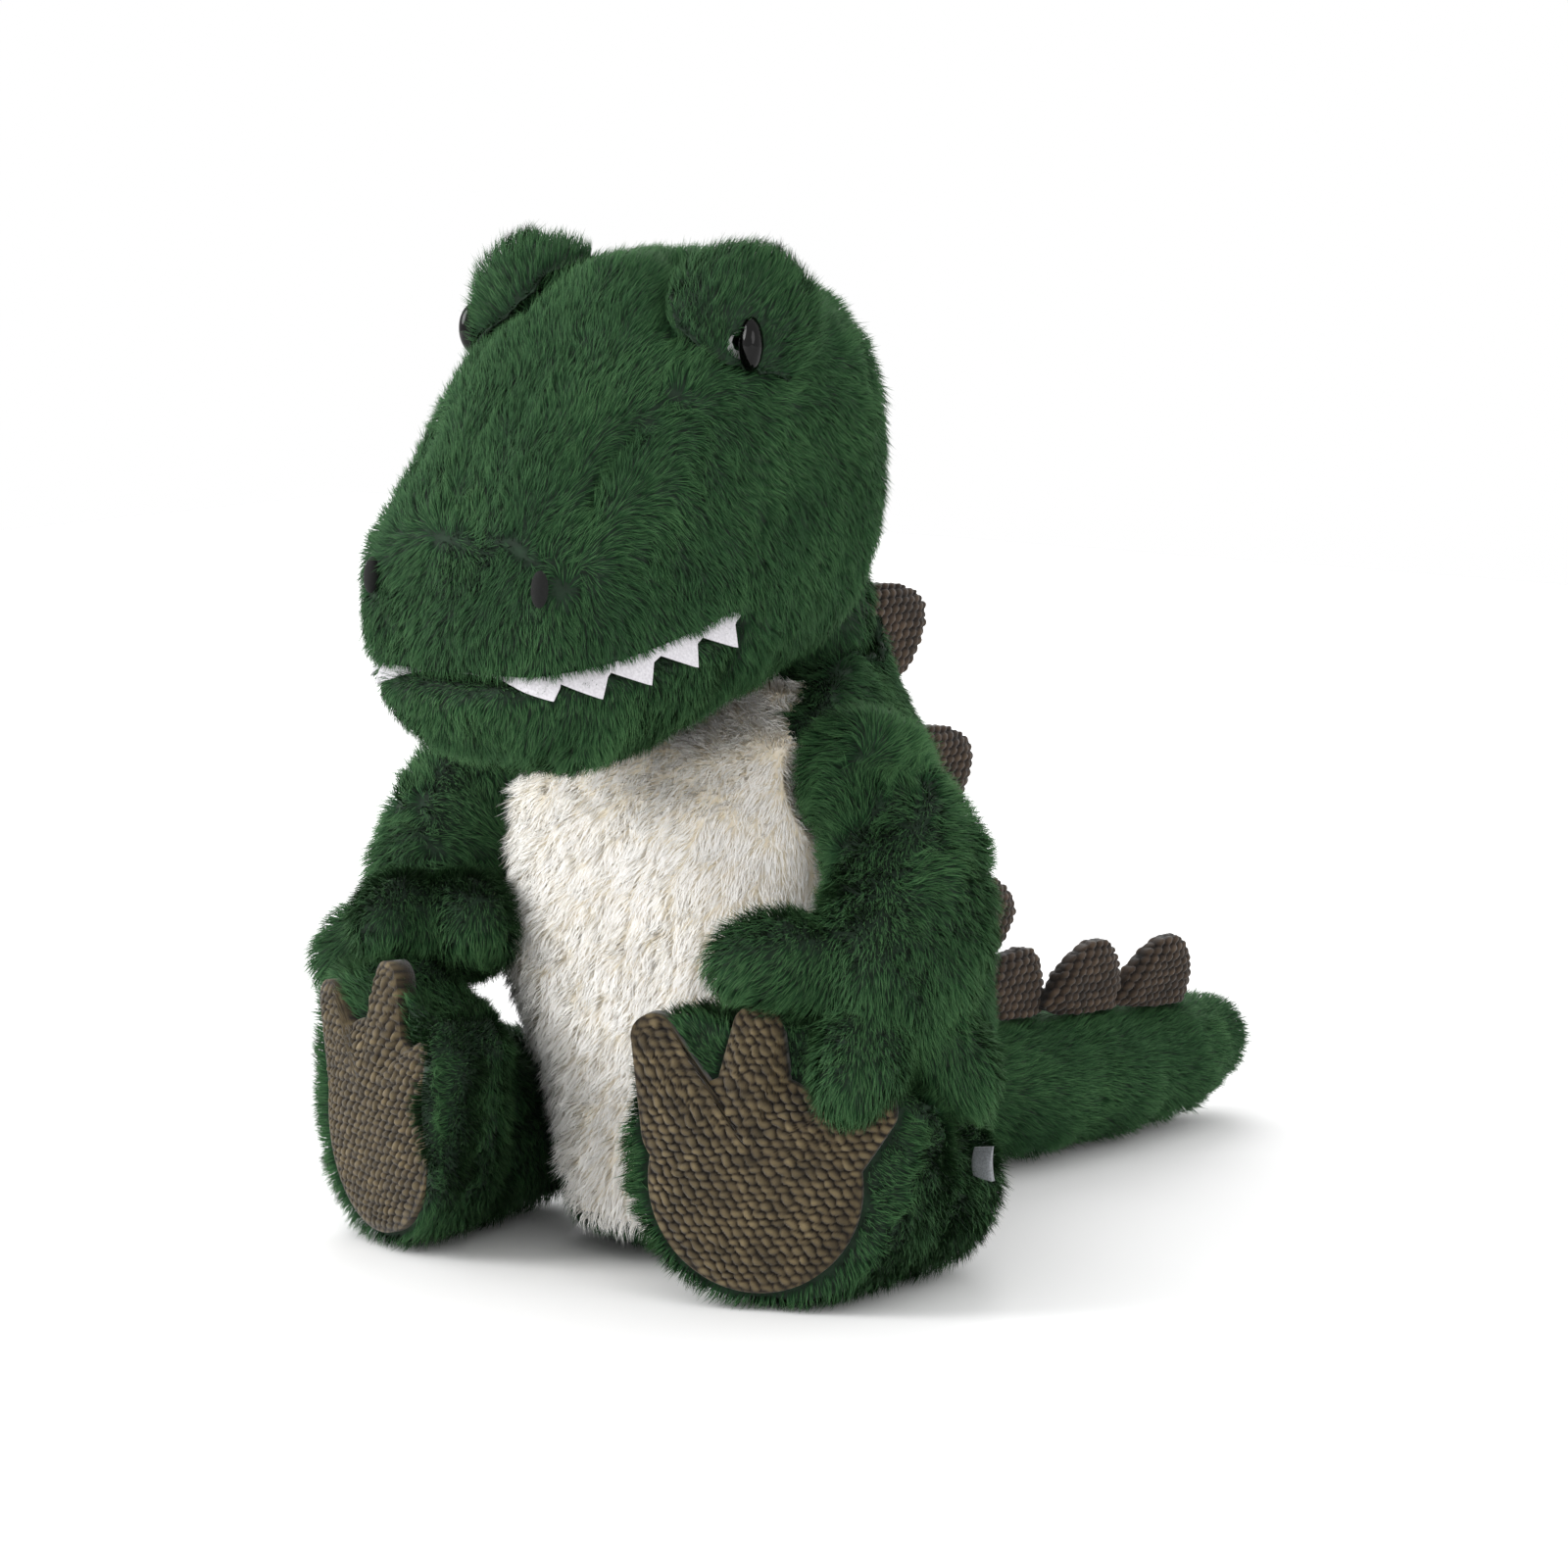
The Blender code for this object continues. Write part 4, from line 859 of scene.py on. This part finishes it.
def knit_piece(name, node, body, finish, right, forward, width, rise, depth):
    """A padded knit piece: its solid remade fine and relaxed, then raised into stitches."""
    made = soft_form(name, [node], 0.55 * MM, 14)
    points = points_of(made.data)
    points += dot(points - points.mean(0), right) * right * 0.20
    move_points(made, points)
    normals = normals_of(made.data)
    drift = waves(points, 20 * MM, 41) * 0.25 * MM
    up = np.cross(forward, right) * -1
    relief = stitches((points + drift) @ right, (points + drift) @ up, width, rise)
    facing = abs(normals @ forward)
    raised = relief * (0.35 + 0.65 * facing)
    moved = points + normals * (raised[:, None] - 0.5) * depth
    moved[:, 2] = np.maximum(moved[:, 2], FLOOR_CLEARANCE)
    move_points(made, moved)
    # This relief also sets the yarn's colour, darker in the grooves: painted shade.
    value = made.data.attributes.new("relief", "FLOAT", "POINT")
    value.data.foreach_set("value", raised.astype(np.float32))
    made.data.shade_smooth()
    made.data.materials.clear()
    made.data.materials.append(finish)
    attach(made, body)
    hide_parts(node)
    return made


# ---------------------------------------------------------------- legs
def foot_axes(side):
    right = np.array((side * np.cos(FOOT_SPLAY), np.sin(FOOT_SPLAY), 0.0))
    forward = np.array((side * np.sin(FOOT_SPLAY), -np.cos(FOOT_SPLAY), 0.0))
    return right, forward


def paw_reach(angle, label):
    """Farthest edge by angle of a round pad and three tapered toes.

    Each toe is a row of circles out to its tip, and a ray from the middle meets a circle
    of radius R at distance d along it where d = along + sqrt(R^2 - offset^2).
    """
    across, up = np.sin(angle), np.cos(angle)
    circles = [np.array(PAD[label])]
    for root, tip in TOES[label]:
        circles += [np.array(root) * (1 - part) + np.array(tip) * part for part in np.linspace(0, 1, 12)]
    far = np.zeros(np.shape(angle))
    for x, y, radius in np.array(circles) * MM:
        along = across * x + up * y
        room = radius**2 - x**2 - y**2 + along**2
        far = np.maximum(far, np.where(room > 0, along + np.sqrt(np.maximum(room, 0)), 0))
    return far


def knit_sole(name, node, body, middle, right, forward, label):
    """A crowned knit panel: a square grid pressed into a disc, then stretched to the paw's edge.

    Square (u, v) becomes disc (u sqrt(1 - v^2 / 2), v sqrt(1 - u^2 / 2)). The stitches follow
    the panel's own plane. A wall runs back from its border to a fan that closes it behind.
    """
    count = SOLE_GRID
    u, v = np.meshgrid(np.linspace(-1, 1, count), np.linspace(-1, 1, count))
    disc_x, disc_y = u * np.sqrt(1 - v * v / 2), v * np.sqrt(1 - u * u / 2)
    share, angle = np.hypot(disc_x, disc_y), np.arctan2(disc_x, disc_y)
    reach = paw_reach(angle, label)
    across, up = share * reach * np.sin(angle), share * reach * np.cos(angle)
    edge = 1 - share**4
    flat = np.stack([across, up, 0 * up], -1).reshape(-1, 3)
    drift = waves(flat, 22 * MM, 43) * 0.55 * MM + waves(flat, 6 * MM, 44) * 0.22 * MM
    drift = drift[:, :2].reshape(count, count, 2)
    relief = stitches(across + drift[..., 0], up + drift[..., 1], 3.4 * MM, 2.5 * MM)
    crown = 1.8 * MM * (1 - share**2) + 1.6 * MM * edge - 1.4 * MM
    depth = crown + (relief - 0.5) * 1.5 * MM * np.minimum(1, edge * 3)
    front = middle + across[..., None] * right + depth[..., None] * forward + up[..., None] * UP
    front = front.reshape(-1, 3)
    border = np.concatenate([
        np.arange(count - 1), np.arange(count - 1) * count + count - 1,
        count * count - 1 - np.arange(count - 1), (count - 1 - np.arange(count - 1)) * count,
    ])
    behind = front[border] - forward * SOLE_THICKNESS
    centre = middle - forward * SOLE_THICKNESS
    row, column = np.meshgrid(np.arange(count - 1), np.arange(count - 1), indexing="ij")
    here = (row * count + column).ravel()
    quads = np.stack([here, here + 1, here + count + 1, here + count], 1)
    ring = np.arange(len(border))
    after = (ring + 1) % len(border)
    back, hub = count * count, np.full(len(ring), count * count + len(ring))
    walls = np.stack([border[ring], back + ring, back + after, border[after]], 1)
    fan = np.stack([hub, back + after, back + ring], 1)
    mesh = bpy.data.meshes.new(name)
    points = np.concatenate([front, behind, centre[None]])
    points[:, 2] = np.maximum(points[:, 2], FLOOR_CLEARANCE)
    mesh.from_pydata(points.tolist(), [], quads.tolist() + walls.tolist() + fan.tolist())
    # This relief also sets the yarn's colour, darker in the grooves: painted shade.
    value = mesh.attributes.new("relief", "FLOAT", "POINT")
    heights = np.concatenate([relief.ravel(), np.zeros(len(border) + 1)])
    value.data.foreach_set("value", heights.astype(np.float32))
    shaped = bmesh.new()
    shaped.from_mesh(mesh)
    bmesh.ops.recalc_face_normals(shaped, faces=shaped.faces)
    shaped.to_mesh(mesh)
    shaped.free()
    mesh.shade_smooth()
    mesh.materials.append(BROWN_KNIT)
    made = link(name, mesh)
    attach(made, body)
    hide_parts(node)


def leg_parts(side, label):
    right, forward = foot_axes(side)
    middle = points_of(NODES[f"sole_{label}"].data).mean(0)
    middle[2] = FOOT_MIDDLE_HEIGHT
    body = f"leg_{label}"

    def place_on_sole(points):
        across, up = (points - middle) @ right, points[:, 2] - middle[2]
        far = paw_reach(np.arctan2(across, up), label)
        return across, up, np.hypot(across, up) - far

    def keep(points, normals):
        _, _, beyond = place_on_sole(points)
        front = ((points - middle) @ forward > -12 * MM) & (normals @ forward > 0.4)
        bare = front & (beyond < 0.4 * MM)
        return np.where(bare, 0.0, 1.0), np.where(front, 0.95, 1.0)

    def comb(points, normals):
        across, up, _ = place_on_sole(points)
        radial = unit(across[:, None] * right + up[:, None] * UP)
        depth = ease((points - middle) @ forward, -26 * MM, 0)[:, None]
        return radial * 0.8 * depth + forward * 0.55 + np.array((0, 0, -0.35)) * (1 - depth)

    def toe_mound(points):
        """The inner toe of the right foot is rolled forward, and the left foot's isn't."""
        if side > 0:
            return np.zeros(len(points))
        gap = points - (middle - right * 42 * MM + forward * 2 * MM + UP * 6 * MM)
        spread = (gap @ right / (12 * MM)) ** 2 + (gap @ forward / (16 * MM)) ** 2
        return -9 * MM * np.exp(-(spread + (gap[:, 2] / (22 * MM)) ** 2))

    form = padded_form(f"leg_form_{label}", [f"leg_skin_{label}", f"leg_stuffing_{label}"], body,
                       inset=2.4 * MM, voxel=2.4 * MM, rounds=7, dent=toe_mound)
    # The legs' pile gets a lighter tone than the body's: painted light.
    pile(f"leg_pile_{label}", form, body, comb, keep=keep, seed=40 + side, lean=42,
         painted_light_shift=0.24)
    knit_sole(f"knit_sole_{label}", f"sole_{label}", body, middle, right, forward, label)


for side, label in ((1, "left"), (-1, "right")):
    leg_parts(side, label)


# ---------------------------------------------------------------- tail and spikes
tail_form = padded_form("tail_form", ["tail_skin", "tail_stuffing"], "tail", rounds=9)
pile("tail_pile", tail_form, "tail", constant(0, 1, -0.35), seed=51)
for number in range(1, 7):
    body = "body" if number < 4 else "tail"
    knit_piece(f"knit_spike_{number}", f"spike_{number}", body, DARK_KNIT, np.array((0.0, 1.0, 0.0)),
               np.array((1.0, 0.0, 0.0)), 3.4 * MM, 2.6 * MM, 1.5 * MM)


# ---------------------------------------------------------------- label
def care_label():
    """A folded ribbon: a flat loop whose half profile is x = T sqrt(1 - s^2) along its height s."""
    low, high = (np.array(corner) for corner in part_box("care_label"))
    centre, half = (low + high) / 2, (high - low) / 2
    turn = np.linspace(0, 2 * np.pi, 28, endpoint=False)
    rise = np.linspace(-1, 1, 9)
    thick = 0.35 * MM + 0.9 * MM * (1 - ((rise + 1) / 2) ** 2)
    x = np.cos(turn)[None, :] * half[0] * 0.72 * np.ones((9, 1))
    y = np.sign(np.sin(turn)) * abs(np.sin(turn)) ** 0.4 * thick[:, None]
    z = rise[:, None] * half[2] * 0.72 + 0.5 * MM * (np.cos(turn)[None, :] * rise[:, None])
    points = (np.stack([x - 2.6 * MM, y + 0.8 * MM * rise[:, None] ** 2, z], -1) + centre).reshape(-1, 3)
    row, column = np.meshgrid(np.arange(8), np.arange(28), indexing="ij")
    here, beside = row * 28 + column, row * 28 + (column + 1) % 28
    faces = np.stack([here, beside, beside + 28, here + 28], -1).reshape(-1, 4).tolist()
    faces += [list(range(27, -1, -1)), list(range(8 * 28, 9 * 28))]
    mesh = bpy.data.meshes.new("blank_label")
    mesh.from_pydata(points.tolist(), [], faces)
    mesh.materials.append(RIBBON)
    made = link("blank_label", mesh)
    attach(made, "leg_left")
    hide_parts("care_label")


care_label()


# ---------------------------------------------------------------- nodes that keep their solids
KEPT = {"eye_washer_left": WASHER, "eye_washer_right": WASHER}
for node, finish in KEPT.items():
    NODES[node].data.materials.clear()
    NODES[node].data.materials.append(finish)


# ---------------------------------------------------------------- studio
def studio():
    """A wide flat floor of white paper, three soft lamps and the camera."""
    place = np.linspace(-1.6, 1.6, 13)
    x, y = np.meshgrid(place, place, indexing="ij")
    points = np.stack([x, y, 0 * x], -1).reshape(-1, 3)
    row, column = np.meshgrid(np.arange(12), np.arange(12), indexing="ij")
    here = row * 13 + column
    faces = np.stack([here, here + 13, here + 14, here + 1], -1).reshape(-1, 4)
    mesh = bpy.data.meshes.new("paper_floor")
    mesh.from_pydata(points.tolist(), [], faces.tolist())
    paper, _, shader = new_material("white_background_paper", 0.9)
    shader.inputs["Base Color"].default_value = linear("#f4f4f4")
    mesh.materials.append(paper)
    link("paper_floor", mesh)

    world = bpy.data.worlds.new("soft_studio")
    world.use_nodes = True
    world.node_tree.nodes["Background"].inputs["Color"].default_value = linear("#ffffff")
    world.node_tree.nodes["Background"].inputs["Strength"].default_value = 1.0
    bpy.context.scene.world = world
    for name, place, size, power in (
        ("key", (-1.5, -1.6, 1.1), 1.3, 40),
        ("fill", (1.9, -1.0, 0.9), 1.6, 16),
        ("rim", (-1.2, 1.4, 1.3), 1.4, 22),
    ):
        lamp = bpy.data.lights.new(name, "AREA")
        lamp.shape, lamp.size, lamp.energy = "DISK", size, power
        holder = bpy.data.objects.new(name, lamp)
        holder.location = place
        aim = Vector((0, 0, 0.12)) - Vector(place)
        holder.rotation_euler = aim.to_track_quat("-Z", "Y").to_euler()
        bpy.context.scene.collection.objects.link(holder)
    lens = bpy.data.cameras.new("camera")
    lens.sensor_width = 36
    lens.lens = CAMERA_LENS
    camera = bpy.data.objects.new("camera", lens)
    aim = Vector((0, 0, CAMERA_AIM_HEIGHT))
    turn, tilt = np.radians(CAMERA_TURN), np.radians(CAMERA_TILT)
    way = Vector((np.sin(turn) * np.cos(tilt), -np.cos(turn) * np.cos(tilt), np.sin(tilt)))
    camera.location = aim + way * CAMERA_DISTANCE
    camera.rotation_euler = (-way).to_track_quat("-Z", "Y").to_euler()
    bpy.context.scene.collection.objects.link(camera)
    bpy.context.scene.camera = camera


studio()
bpy.context.scene.view_settings.view_transform = "Standard"
